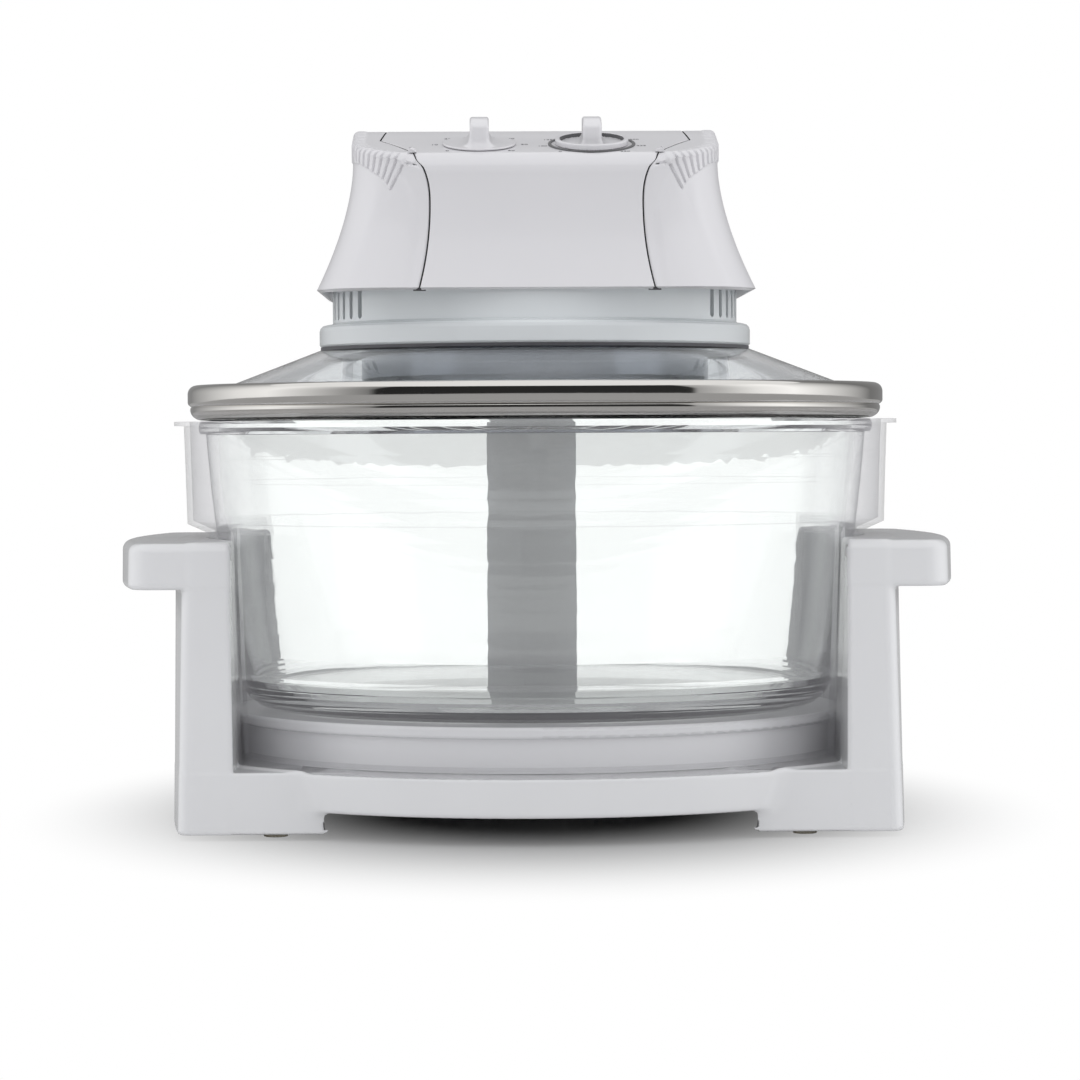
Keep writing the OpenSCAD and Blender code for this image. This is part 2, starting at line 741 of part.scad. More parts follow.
// Flat wires: five rings joined by spokes, held on the reflector's lower edge.
module fan_guard() {
    last = dish_r - dish_corner + 1;
    rings = [for (i = [1:5]) last * i / 5];
    color("silver") translate([0, 0, dish_z - wire_r - sit]) {
        for (r = rings) ring(r + wire_r, r - wire_r, wire_r);
        for (a = [0:45:179]) rotate(a) for (s = [0, 180]) rotate(s) {
            translate([rings[0], -wire_r, 0]) cube([last - rings[0], 2 * wire_r, wire_r]);
        }
    }
}

// Motor and fans

module heat_shield() {
    color("lightgray") difference() {
        union() {
            translate([0, 0, shield_z]) cylinder(r = shield_r, h = shield_t);
            four_ways(leg_at, leg_at) translate([0, 0, dish_top]) {
                cylinder(r = leg_r, h = shield_z - dish_top + eps);
            }
        }
        translate([0, 0, shield_z - over]) cylinder(r = motor_shaft_r + 3, h = 4);
        for (a = [45:90:359]) rotate(a) translate([dish_screw_at, 0, shield_z - over]) {
            cylinder(r = screw_r + 4, h = 4);
        }
    }
}

module motor_bracket() {
    z0 = shield_z + shield_t;
    arm_w = 11;
    color("silver") difference() {
        union() {
            for (a = [45, 135]) rotate(a) translate([-leg_at * sqrt(2), -arm_w / 2, bracket_z]) {
                cube([2 * leg_at * sqrt(2), arm_w, bracket_t]);
            }
            translate([-pillar_x - 5, -5, bracket_z]) cube([2 * pillar_x + 10, 10, bracket_t]);
            four_ways(leg_at, leg_at) translate([0, 0, z0]) cylinder(r = 6, h = bracket_z + bracket_t - z0);
            translate([0, 0, bracket_z]) cylinder(r = boss_r, h = bracket_t + bearing_h - 3);
            translate([-pillar_x - 5, -8, upper_z]) cube([2 * pillar_x + 10, 16, bracket_t]);
            translate([0, 0, upper_z]) cylinder(r = boss_r, h = bearing_h);
            for (x = [-pillar_x, pillar_x]) translate([x, 0, bracket_z]) {
                cylinder(r = 4.5, h = core_z - bracket_z);
            }
            for (x = [-pillar_x, pillar_x]) translate([x, 0, core_z + core_h]) {
                cylinder(r = 4.5, h = upper_z - core_z - core_h + eps);
            }
        }
        translate([0, 0, bracket_z - over]) cylinder(r = bearing_r + 0.02, h = bearing_h + 4);
        translate([0, 0, upper_z - over]) cylinder(r = bearing_r + 0.02, h = bearing_h + 4);
        for (x = [-pillar_x, pillar_x]) translate([x, 0, bracket_z - over]) {
            cylinder(r = screw_r + run, h = upper_z - bracket_z + bracket_t + 2 * over);
        }
    }
}

module bracket_screws() {
    color("silver") for (x = [-pillar_x, pillar_x]) translate([x, 0, bracket_z]) {
        screw(upper_z - bracket_z + bracket_t + 2);
    }
}

module motor_core() {
    coil_hole = 10;
    color("slategray") translate([0, 0, core_z]) difference() {
        translate([-core_x, -core_front, 0]) cube([2 * core_x, core_front + core_rear, core_h]);
        translate([0, 0, -over]) cylinder(r = rotor_r + rotor_gap, h = core_h + 2 * over);
        translate([-15, core_rear - 18, -over]) cube([30, coil_hole, core_h + 2 * over]);
        for (x = [-pillar_x, pillar_x]) translate([x, 0, -over]) {
            cylinder(r = screw_r + 0.3, h = core_h + 2 * over);
        }
    }
}

module motor_coil() {
    color("chocolate") translate([0, 0, core_z]) difference() {
        translate([-13, core_rear - 17.5, -5]) cube([26, 27, core_h + 10]);
        translate([-15, core_rear - 8 - sit, -sit]) cube([30, 8 + 2 * sit, core_h + 2 * sit]);
    }
}

module bearing(z) {
    color("goldenrod") translate([0, 0, z]) ring(bearing_r, motor_shaft_r + run, bearing_h - 1);
}

shaft_z0 = hot_fan_z - 6;
shaft_z1 = upper_z + bearing_h + 4;
module motor_shaft() {
    color("silver") translate([0, 0, shaft_z0]) cylinder(r = motor_shaft_r, h = shaft_z1 - shaft_z0);
}

module motor_rotor() {
    color("darkgray") translate([0, 0, core_z + 1]) ring(rotor_r, motor_shaft_r + 0.02, core_h - 2);
}

module fan(r, h, hub_r, tilt, thick) {
    difference() {
        union() {
            cylinder(r = hub_r, h = h);
            for (i = [0:fan_blades - 1]) rotate(360 / fan_blades * i) {
                translate([(r + hub_r) / 2 - 1, 0, h / 2]) rotate([tilt, 0, 0]) {
                    cube([r - hub_r, thick, h * 0.8], center = true);
                }
            }
            translate([0, 0, h * 0.4]) cylinder(r = r * 0.55, h = thick);
        }
        translate([0, 0, -over]) cylinder(r = motor_shaft_r + 0.02, h = h + 2 * over);
    }
}

module hot_air_fan() {
    color("silver") translate([0, 0, hot_fan_z]) fan(hot_fan_r, fan_h, 7, 25, 1.2);
}

module fan_nut() {
    color("goldenrod") translate([0, 0, hot_fan_z - 4]) difference() {
        cylinder(r = 5, h = 4, $fn = 6);
        translate([0, 0, -over]) cylinder(r = motor_shaft_r + 0.02, h = 6);
    }
}

module cooling_fan() {
    color("whitesmoke") translate([0, 0, cool_fan_z]) fan(cool_fan_r, fan_h + 1, 9, 30, 1.6);
}

// Head cover: a flared rounded square cut by the line of the control panel.

function flare(t) = pow(1 - min(1, max(0, t)), 1.65);
function cover_half_at(z) = cover_half - cover_flare * (1 - flare((z - cover_z) / flare_h));

slice_t = 0.1;
module cover_slice(z, inset) {
    half = cover_half_at(z) - inset;
    r = cover_corner - inset;
    translate([0, 0, z]) linear_extrude(slice_t) {
        four_ways(half - r, half - r) circle(r = r, $fn = 48);
    }
}

module cover_body(inset) {
    steps = 9;
    top = crown_z + 6;
    z0 = cover_z - (inset > 0 ? over : 0);
    levels = concat([z0], [for (i = [1:steps]) cover_z + flare_h * i / steps], [top]);
    intersection() {
        for (i = [0:len(levels) - 2]) hull() {
            cover_slice(levels[i], inset);
            cover_slice(levels[i + 1], inset);
        }
        rotate([90, 0, 90]) translate([0, 0, -cover_half - 5]) linear_extrude(2 * cover_half + 10) {
            top_line(inset);
        }
    }
}

// Side view of the head: the sloped panel, the level crown and the rear slope.
module top_line(inset) {
    out = cover_half + 5;
    drop = inset * 1.03;
    polygon([[-out, cover_z - 5], [-out, break_z - (out - panel_front) * panel_rise - drop],
        [-panel_back - 3, crown_z - 1.8 - 3 * panel_rise - drop], [-panel_back + 6, crown_z - 0.5 - drop],
        [-panel_back + 14, crown_z - drop], [panel_front - 20, crown_z - drop],
        [panel_front, crown_z - 7 - drop], [out, crown_z - 16 - drop], [out, cover_z - 5]]);
}

function front_seam(z) = seam_half + (z < 0 ? 4.8 * pow(z / 38, 2) : 5.2 * pow(z / 21.3, 2.6));
function top_seam(y) = min(front_seam(break_z - cover_z - 38)
    + 16.6 * pow(max(0, panel_front - abs(y)) / 35, 1.4),
    panel_front - 13.3 - 0.1 * (panel_front / 2 - abs(y)));

// Everything between the two seams, from front to rear and over the top.
module seam_prism(grow) {
    z_mid = cover_z + 38;
    z_top = break_z - 1;
    front = [for (i = [0:12]) let (z = cover_z - 1 + (z_top + 8 - cover_z) * i / 12)
        [front_seam(min(z, break_z) - z_mid) + grow, z]];
    flip = [for (p = backwards(front)) [-p[0], p[1]]];
    steps = 17;
    edge = concat([[top_seam(panel_front) + grow, -cover_half - 5]],
        [for (i = [-steps:steps]) let (y = panel_front * i / steps) [top_seam(y) + grow, y]],
        [[top_seam(panel_front) + grow, cover_half + 5]]);
    back = [for (p = backwards(edge)) [-p[0], p[1]]];
    rotate([90, 0, 0]) translate([0, 0, -cover_half - 5]) linear_extrude(2 * cover_half + 10) {
        polygon(concat(front, flip));
    }
    translate([0, 0, z_top]) linear_extrude(cover_h) polygon(concat(edge, back));
}

module tray() {
    x = carry_x + tray_gap + tray_wall;
    y0 = carry_pivot_y - carry_l - tray_gap - tray_wall;
    y1 = carry_pivot_y + carry_w / 2 + tray_gap + tray_wall;
    translate([-x, y0, tray_floor - tray_wall]) cube([2 * x, y1 - y0, crown_z - tray_floor + tray_wall]);
}

module tray_hollow() {
    x = carry_x + tray_gap;
    y0 = carry_pivot_y - carry_l - tray_gap;
    y1 = carry_pivot_y + carry_w / 2 + tray_gap;
    translate([-x, y0, tray_floor]) cube([2 * x, y1 - y0, 30]);
}

module on_panel(x) {
    translate([x, -knob_y, knob_z]) rotate([panel_slope, 0, 0]) children();
}

module centre_cover() {
    color("ghostwhite") difference() {
        intersection() {
            union() {
                difference() {
                    cover_body(0);
                    cover_body(cover_wall);
                }
                intersection() {
                    cover_body(0);
                    tray();
                }
            }
            seam_prism(0);
        }
        tray_hollow();
        for (x = [-knob_x, knob_x]) on_panel(x) translate([0, 0, -10]) {
            cylinder(r = shaft_r + 1, h = 20, $fn = 32);
        }
        mirror_x() translate([carry_x - carry_w - 1, carry_pivot_y, carry_z]) rotate([0, 90, 0]) {
            cylinder(r = carry_pin_r + run, h = carry_w + 6, $fn = 32);
        }
    }
}

module right_side_cover() {
    color("ghostwhite") difference() {
        intersection() {
            cover_body(0);
            union() {
                difference() {
                    cube([500, 500, 1000], center = true);
                    cover_body(cover_wall);
                }
                four_ways(boss_at, boss_at) translate([0, 0, flange_z + flange_t + sit]) {
                    cylinder(r = cover_boss_r, h = 40, $fn = 24);
                }
            }
            translate([0, -250, 0]) cube([250, 500, 500]);
        }
        seam_prism(seam_gap);
        four_ways(boss_at, boss_at) translate([0, 0, flange_z]) {
            cylinder(r = screw_r + run, h = screw_l + 4, $fn = 24);
        }
    }
}

module left_cover() {
    mirror([1, 0, 0]) right_side_cover();
}

module cover_screws() {
    color("silver") four_ways(boss_at, boss_at) translate([0, 0, flange_z]) screw(screw_l + 2);
}

// Things held in the head

gland_r = 5;
gland_z = lip_z + lip_h / 2 + 1;
module cord_gland() {
    r_in = neck_r - neck_wall - 0.8;
    color("dimgray") translate([0, 0, gland_z]) rotate([-90, 0, 0]) difference() {
        union() {
            translate([0, 0, r_in - 2]) cylinder(r = gland_r - 0.1, h = crown_r - r_in + 3);
            translate([0, 0, crown_r + sit]) cylinder(r = gland_r + 1.4, h = 2.5);
            translate([0, 0, r_in - 2.5]) cylinder(r = gland_r + 1.4, h = 2.5);
        }
        translate([0, 0, r_in - 6]) cylinder(r = 3.2, h = crown_r - r_in + 12);
    }
}

module terminal_block() {
    pitch = 10;
    w = 22;
    h = 12;
    beside = cover_boss_r + 5;
    at = [beside - boss_at, boss_at + cover_boss_r - w, flange_z + flange_t];
    color("ivory") translate(at) difference() {
        cube([3 * pitch, w, h]);
        for (i = [0.5:1:2.5]) translate([pitch * i, -over, h / 2]) {
            rotate([-90, 0, 0]) cylinder(r = 2, h = w + 2 * over);
        }
    }
}

control_gap = cover_wall + 0.3;
timer_r = 20;
timer_t = 20;
module timer() {
    color("silver") on_panel(-knob_x) translate([0, 0, -control_gap - timer_t]) difference() {
        union() {
            cylinder(r = timer_r, h = timer_t - 1);
            cylinder(r = 7, h = timer_t);
        }
        translate([0, 0, 6]) cylinder(r = shaft_r + run, h = timer_t);
    }
}

module timer_bell() {
    color("goldenrod") on_panel(-knob_x) translate([0, 0, -control_gap - timer_t - 5 - sit]) {
        ring(14, 12.5, 5);
        translate([0, 0, 0]) cylinder(r = 14, h = 1.2);
        cylinder(r = 2.5, h = 5 + sit);
    }
}

module thermostat() {
    color("gainsboro") on_panel(knob_x) translate([0, 0, -control_gap - 18]) difference() {
        union() {
            cylinder(r = 16, h = 14);
            cylinder(r = 7, h = 18);
        }
        translate([0, 0, 6]) cylinder(r = shaft_r + run, h = 20);
    }
}

bulb_x = dish_r - 12.5;
bulb_r = 2.5;
module thermostat_bulb() {
    color("peru") translate([bulb_x, 0, dish_z + 6]) {
        cylinder(r = bulb_r, h = dish_top + 2 - dish_z - 6);
        translate([0, 0, dish_top - dish_z - 6]) cylinder(r = 4.5, h = 2.5);
    }
}

module knob_shaft() {
    color("silver") translate([0, 0, -control_gap - 11]) cylinder(r = shaft_r, h = control_gap + 11 + 8);
}

module knob(disc_r) {
    lift = 0.5;
    color("ghostwhite") difference() {
        union() {
            translate([0, 0, lift]) cylinder(r = disc_r, h = disc_t);
            intersection() {
                translate([0, 0, lift]) cylinder(r = disc_r, h = blade_h - lift);
                rotate([90, 0, 90]) translate([0, 0, -blade_w / 2]) linear_extrude(blade_w) {
                    polygon([[-disc_r, lift], [-disc_r, lift + disc_t], [-disc_r + 3, lift + disc_t + 1],
                        [-disc_r + 5.5, lift + disc_t + 4], [-disc_r + 6.5, blade_h - 1.5],
                        [-disc_r + 8, blade_h], [disc_r - 8, blade_h], [disc_r - 6.5, blade_h - 1.5],
                        [disc_r - 5.5, lift + disc_t + 4], [disc_r - 3, lift + disc_t + 1],
                        [disc_r, lift + disc_t], [disc_r, lift]]);
                }
            }
        }
        translate([0, 0, -over]) cylinder(r = shaft_r, h = 8 + over);
    }
}

module dial_ring() {
    color("dimgray") on_panel(knob_x) ring(dial_ring_r, thermo_disc_r + 1, 0.8);
}

module safety_switch() {
    color("black") translate([carry_x - 30, 14, tray_floor - tray_wall - 12]) {
        cube([20, 7, 12]);
        translate([-1, 0, 0]) cube([22, 7, 3]);
    }
}

module handle_pins() {
    color("silver") mirror_x() translate([carry_x - carry_w, carry_pivot_y, carry_z]) rotate([0, 90, 0]) {
        cylinder(r = carry_pin_r, h = carry_w + tray_gap + tray_wall);
    }
}

// Folded flat at rest: two arms from the pivots and a bowed crown towards the front.
module carry_handle() {
    bow_r = 90;
    front = carry_pivot_y - carry_l;
    color("ghostwhite") difference() {
        translate([0, 0, carry_z - carry_t / 2]) intersection() {
            difference() {
                union() {
                    translate([-carry_x, front, 0]) cube([2 * carry_x, carry_l, carry_t]);
                    mirror_x() translate([carry_x - carry_w, carry_pivot_y, carry_t / 2]) {
                        rotate([0, 90, 0]) cylinder(r = carry_t / 2, h = carry_w);
                    }
                }
                intersection() {
                    translate([-carry_x + carry_w, front, -over]) {
                        cube([2 * (carry_x - carry_w), 2 * carry_l, carry_t + 2 * over]);
                    }
                    translate([0, front + carry_w + bow_r, -over]) {
                        cylinder(r = bow_r, h = carry_t + 2 * over);
                    }
                }
            }
            translate([0, front + bow_r, -over]) cylinder(r = bow_r, h = carry_t + 2 * over);
        }
        mirror_x() translate([carry_x - carry_w - 1, carry_pivot_y, carry_z]) rotate([0, 90, 0]) {
            cylinder(r = carry_pin_r + run, h = carry_w + 2);
        }
    }
}

module placed() {
    translate([0, bowl_y, 0]) children();
}

placed() base_frame();
placed() cool_touch_tub();
placed() bowl_seat();
placed() glass_bowl();
placed() foot_pads();
placed() seat_screws();
placed() hinge_post();
placed() post_screws();
placed() hinge_pin();
placed() lid_glass();
placed() lid_rim();
placed() lid_gasket();
placed() hinge_strap();
placed() strap_rivets();
placed() neck_gasket();
placed() neck_housing();
placed() reflector_dish();
placed() dish_screws();
placed() heater_lamp();
placed() lamp_holders();
placed() fan_guard();
placed() heat_shield();
placed() motor_bracket();
placed() bracket_screws();
placed() motor_core();
placed() motor_coil();
placed() bearing(bracket_z);  // lower_bearing
placed() bearing(upper_z + 1);  // upper_bearing
placed() motor_shaft();
placed() motor_rotor();
placed() hot_air_fan();
placed() fan_nut();
placed() cooling_fan();
placed() centre_cover();
placed() left_cover();
placed() right_side_cover();  // right_cover
placed() cover_screws();
placed() cord_gland();
placed() terminal_block();
placed() timer();
placed() timer_bell();
placed() on_panel(-knob_x) knob_shaft();  // timer_shaft
placed() on_panel(-knob_x) knob(timer_disc_r);  // timer_knob
placed() thermostat();
placed() thermostat_bulb();
placed() on_panel(knob_x) knob_shaft();  // thermostat_shaft
placed() on_panel(knob_x) knob(thermo_disc_r);  // thermostat_knob
placed() dial_ring();
placed() safety_switch();
placed() handle_pins();
placed() carry_handle();
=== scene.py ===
import json
import math

import bpy
import numpy as np
from mathutils import Matrix, Vector


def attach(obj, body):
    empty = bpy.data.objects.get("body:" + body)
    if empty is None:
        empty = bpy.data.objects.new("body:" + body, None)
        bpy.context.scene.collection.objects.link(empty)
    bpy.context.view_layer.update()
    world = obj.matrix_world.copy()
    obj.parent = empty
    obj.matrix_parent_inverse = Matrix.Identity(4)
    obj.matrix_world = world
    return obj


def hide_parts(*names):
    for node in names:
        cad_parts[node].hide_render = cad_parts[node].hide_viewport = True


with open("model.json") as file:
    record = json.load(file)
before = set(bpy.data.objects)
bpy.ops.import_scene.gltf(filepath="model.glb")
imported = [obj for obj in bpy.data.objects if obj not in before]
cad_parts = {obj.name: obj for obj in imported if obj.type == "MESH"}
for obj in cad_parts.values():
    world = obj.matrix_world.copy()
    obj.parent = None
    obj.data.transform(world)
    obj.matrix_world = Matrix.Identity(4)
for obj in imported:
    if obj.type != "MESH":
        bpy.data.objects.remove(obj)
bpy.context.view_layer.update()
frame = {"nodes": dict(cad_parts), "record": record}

# All sizes below are millimetres about the bowl's axis, which lies at y = AXIS_Y in the frame.
MM = 0.001
AXIS_Y = -7.5

# Heights
PAD_H = 2.6
BAR_Z = 12.1
DECK_Z = 29.5
STAND_TOP = 131.3
SHOULDER_Z = 138.2
BOWL_TOP = 186.7
RIM_Z = 187.0
RIM_TOP = 203.9
COVER_Z = 246.7
BREAK_Z = 307.45
KNOB_Z = 314.1
CROWN_Z = 323.4
# Radii and half widths
TUB_FOOT_R = 166.5
TUB_TOP_R = 168.0
BASE_R = 169.0
RIM_R = 166.0
CONE_R = 147.6
COVER_HALF = 101.2
COVER_FLARE = 16.4
COVER_CORNER = 34.0
PANEL_FRONT = COVER_HALF - COVER_FLARE
# The knobs stand on a sloped panel
KNOB_X = 26.0
KNOB_Y = 60.0
PANEL_SLOPE = math.radians(15)


# ---------------------------------------------------------------- materials


TONE_SCALE = 25.0
GLOSS_SPREAD = 0.05
COAT_ROUGH = 0.08
GRAIN_DEPTH = 0.0002


def link(tree, a, b):
    tree.links.new(a, b)


def math_node(tree, operation, *values):
    """The output of a Math node. Its values are numbers or outputs of other nodes."""
    node = tree.nodes.new("ShaderNodeMath")
    node.operation = operation
    for socket, value in zip(node.inputs, values):
        if isinstance(value, bpy.types.NodeSocket):
            link(tree, value, socket)
        else:
            socket.default_value = value
    return node.outputs[0]


def material(name, color, rough, metallic=0.0, transmission=0.0, ior=1.5, coat=0.0, tone=0.02,
             bump=0.0, bump_scale=900.0, stretch=(1, 1, 1)):
    """A procedural finish: noise varies its tone and gloss, and a finer noise its grain."""
    mat = bpy.data.materials.new(name)
    mat.use_nodes = True
    tree = mat.node_tree
    shader = tree.nodes["Principled BSDF"]
    shader.inputs["Metallic"].default_value = metallic
    shader.inputs["IOR"].default_value = ior
    shader.inputs["Transmission Weight"].default_value = transmission
    shader.inputs["Coat Weight"].default_value = coat
    shader.inputs["Coat Roughness"].default_value = COAT_ROUGH
    place = tree.nodes.new("ShaderNodeTexCoord")
    mapping = tree.nodes.new("ShaderNodeMapping")
    mapping.inputs["Scale"].default_value = stretch
    link(tree, place.outputs["Object"], mapping.inputs["Vector"])
    cloud = tree.nodes.new("ShaderNodeTexNoise")
    cloud.inputs["Scale"].default_value = TONE_SCALE
    cloud.inputs["Detail"].default_value = 3
    link(tree, mapping.outputs["Vector"], cloud.inputs["Vector"])
    mix = tree.nodes.new("ShaderNodeMix")
    mix.data_type = "RGBA"
    mix.inputs["A"].default_value = (*[c * (1 - tone) for c in color], 1)
    mix.inputs["B"].default_value = (*[min(1, c * (1 + tone)) for c in color], 1)
    link(tree, cloud.outputs["Fac"], mix.inputs["Factor"])
    link(tree, mix.outputs["Result"], shader.inputs["Base Color"])
    spread = tree.nodes.new("ShaderNodeMapRange")
    spread.inputs["To Min"].default_value = rough - GLOSS_SPREAD * rough
    spread.inputs["To Max"].default_value = rough + GLOSS_SPREAD * rough
    link(tree, cloud.outputs["Fac"], spread.inputs["Value"])
    link(tree, spread.outputs["Result"], shader.inputs["Roughness"])
    if bump:
        grain = tree.nodes.new("ShaderNodeTexNoise")
        grain.inputs["Scale"].default_value = bump_scale
        link(tree, mapping.outputs["Vector"], grain.inputs["Vector"])
        relief = tree.nodes.new("ShaderNodeBump")
        relief.inputs["Strength"].default_value = bump
        relief.inputs["Distance"].default_value = GRAIN_DEPTH
        link(tree, grain.outputs["Fac"], relief.inputs["Height"])
        link(tree, relief.outputs["Normal"], shader.inputs["Normal"])
    return mat


FINISHES = {name: material(name, color, rough, **more) for name, color, rough, more in (
    ("white_plastic", (0.80, 0.80, 0.81), 0.22, dict(coat=0.35, bump=0.02, bump_scale=250)),
    ("head_plastic", (0.78, 0.77, 0.79), 0.30, dict(coat=0.3, bump=0.03, bump_scale=250)),
    # The neck plastic is set lighter than its own tone to make up for the shade under the head:
    # painted light
    ("neck_plastic", (0.83, 0.86, 0.875), 0.25, dict(coat=0.3, bump=0.02, bump_scale=250)),
    ("knob_plastic", (0.79, 0.78, 0.80), 0.28, dict(coat=0.3, bump=0.03, bump_scale=250)),
    ("clear_plastic", (0.86, 0.85, 0.89), 0.06,
     dict(coat=0.5, tone=0.01, bump=0.02, bump_scale=14)),
    ("bowl_glass", (0.93, 0.947, 0.938), 0.0,
     dict(transmission=1.0, ior=1.46, tone=0.004, bump=0.03, bump_scale=16)),
    ("lid_glass", (0.85, 0.868, 0.885), 0.0,
     dict(transmission=1.0, ior=1.45, tone=0.004, bump=0.02, bump_scale=16)),
    ("lamp_glass", (0.93, 0.91, 0.86), 0.12, dict(transmission=0.6, ior=1.45, tone=0.05)),
    ("cream_rubber", (0.80, 0.74, 0.60), 0.6, dict(tone=0.05, bump=0.2)),
    ("grey_silicone", (0.10, 0.10, 0.11), 0.5, dict(tone=0.1, bump=0.2)),
    ("polished_steel", (0.72, 0.705, 0.68), 0.07,
     dict(metallic=1.0, tone=0.03, bump=0.03, bump_scale=60, stretch=(1, 1, 6))),
    ("mirror_steel", (0.15, 0.16, 0.18), 0.16,
     dict(metallic=1.0, tone=0.06, bump=0.12, bump_scale=40, stretch=(1, 1, 3))),
    ("brushed_steel", (0.56, 0.56, 0.57), 0.32,
     dict(metallic=1.0, tone=0.08, bump=0.25, bump_scale=500, stretch=(1, 12, 12))),
    ("steel", (0.60, 0.60, 0.61), 0.25, dict(metallic=1.0, tone=0.06, bump=0.1)),
    ("laminated_iron", (0.20, 0.21, 0.23), 0.45,
     dict(metallic=0.8, tone=0.15, bump=0.8, bump_scale=400, stretch=(0.1, 0.1, 8))),
    ("copper", (0.55, 0.24, 0.10), 0.3,
     dict(metallic=1.0, tone=0.15, bump=0.8, bump_scale=500, stretch=(0.1, 6, 6))),
    ("bronze", (0.50, 0.34, 0.14), 0.35, dict(metallic=1.0, tone=0.1, bump=0.2)),
    ("ceramic", (0.78, 0.74, 0.64), 0.55, dict(tone=0.05, bump=0.3)),
    ("dark_ring", (0.12, 0.12, 0.125), 0.4, dict(tone=0.08, bump=0.1)),
    ("black_plastic", (0.02, 0.02, 0.02), 0.45, dict(tone=0.2, bump=0.2)),
    ("fan_plastic", (0.62, 0.62, 0.62), 0.4, dict(tone=0.04, bump=0.1)),
    ("print_grey", (0.16, 0.16, 0.17), 0.5, dict(tone=0.08)),
    # A dark finish that paints the shade inside the seams between the head covers
    ("seam_painted_shade", (0.10, 0.10, 0.105), 0.6, dict(tone=0.05)),
)}

# The tub is a clear film: thin where it faces the eye and denser at its edges
FILM_THIN = 0.07
FILM_DENSE = 0.42
tree = FINISHES["clear_plastic"].node_tree
slant = tree.nodes.new("ShaderNodeLayerWeight")
slant.inputs["Blend"].default_value = 0.35
density = tree.nodes.new("ShaderNodeMapRange")
density.inputs["From Min"].default_value = 0.25
density.inputs["To Min"].default_value = FILM_THIN
density.inputs["To Max"].default_value = FILM_DENSE
link(tree, slant.outputs["Facing"], density.inputs["Value"])
link(tree, density.outputs["Result"], tree.nodes["Principled BSDF"].inputs["Alpha"])

# Every node of the frame gets its finish. The clear ones throw no shadow.
slots = {row["node"]: row["material_slot"] for row in frame["record"]["subparts"]}
for node_name, node in frame["nodes"].items():
    node.data.materials.clear()
    node.data.materials.append(FINISHES[slots[node_name]])
    if slots[node_name] in ("clear_plastic", "bowl_glass", "lid_glass"):
        node.visible_shadow = False
body_of = {n: b for b, ns in frame["record"]["behaviour"]["bodies"].items() for n in ns}


# ---------------------------------------------------------------- mesh tools


def piece(name, verts, faces, node=None, finish=None, normals=None, sharp=32.0):
    """A mesh object from millimetre points about the bowl's axis.

    With a node it rides with that node's body and stands for the node."""
    mesh = bpy.data.meshes.new(name)
    points = (np.asarray(verts, float) + (0, AXIS_Y, 0)) * MM
    mesh.from_pydata(points.tolist(), [], [list(map(int, f)) for f in faces])
    mesh.validate()
    mesh.polygons.foreach_set("use_smooth", [True] * len(mesh.polygons))
    if normals is not None:
        mesh.normals_split_custom_set_from_vertices([tuple(n) for n in normals])
    elif sharp:
        mesh.set_sharp_from_angle(angle=math.radians(sharp))
    obj = bpy.data.objects.new(name, mesh)
    bpy.context.scene.collection.objects.link(obj)
    mesh.materials.append(FINISHES[finish or slots[node]])
    if node:
        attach(obj, body_of[node])
        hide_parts(node)
    return obj


def apply_modifiers(obj):
    """Keeps the evaluated mesh in place of the object's modifiers."""
    graph = bpy.context.evaluated_depsgraph_get()
    shown = obj.evaluated_get(graph)
    mesh = bpy.data.meshes.new_from_object(shown, preserve_all_data_layers=True, depsgraph=graph)
    obj.modifiers.clear()
    obj.data = mesh


def sheet_faces(rows, cols):
    """Quads of a grid of rows by cols points."""
    return [(i * cols + j, i * cols + j + 1, (i + 1) * cols + j + 1, (i + 1) * cols + j)
            for i in range(rows - 1) for j in range(cols - 1)]


def lathe(profile, segments=192):
    """Points and quads of a closed (radius, height) loop turned about the bowl's axis."""
    loop = np.asarray(profile, float)
    turn = np.linspace(0, 2 * math.pi, segments, endpoint=False)
    verts = [(r * math.cos(a), r * math.sin(a), z) for r, z in loop for a in turn]
    n = len(loop)
    faces = []
    for i in range(n):
        k = (i + 1) % n
        if loop[i][0] < 1e-6 and loop[k][0] < 1e-6:
            continue
        for j in range(segments):
            m = (j + 1) % segments
            faces.append((i * segments + j, i * segments + m, k * segments + m, k * segments + j))
    return weld(verts, faces)


def weld(verts, faces, digits=4):
    """Joins points that coincide and drops the faces that this leaves without an area."""
    verts = np.asarray(verts, float)
    _, index, back = np.unique(np.round(verts, digits), axis=0, return_index=True,
                               return_inverse=True)
    back = back.ravel()
    clean = []
    for f in faces:
        g = []
        for v in f:
            w = int(back[v])
            if w not in g:
                g.append(w)
        if len(g) > 2:
            clean.append(tuple(g))
    return verts[index], clean


def arc(cx, cz, r, a0, a1, n):
    """n + 1 points on a circle in the (radius, height) plane, from angle a0 to a1 in degrees."""
    return [(cx + r * math.cos(math.radians(a0 + (a1 - a0) * i / n)),
             cz + r * math.sin(math.radians(a0 + (a1 - a0) * i / n))) for i in range(n + 1)]


def round_and(a, b, r):
    """The distance to the common part of two shapes, with their shared edge rounded to radius r."""
    return np.minimum(np.maximum(a, b), -r) + np.hypot(np.maximum(a + r, 0), np.maximum(b + r, 0))


def round_or(a, b, r):
    """The distance to two shapes joined by a fillet of radius r."""
    return -round_and(-a, -b, r)


def slab(v, low, high):
    """The distance to the space between two parallel planes."""
    return np.maximum(low - v, v - high)


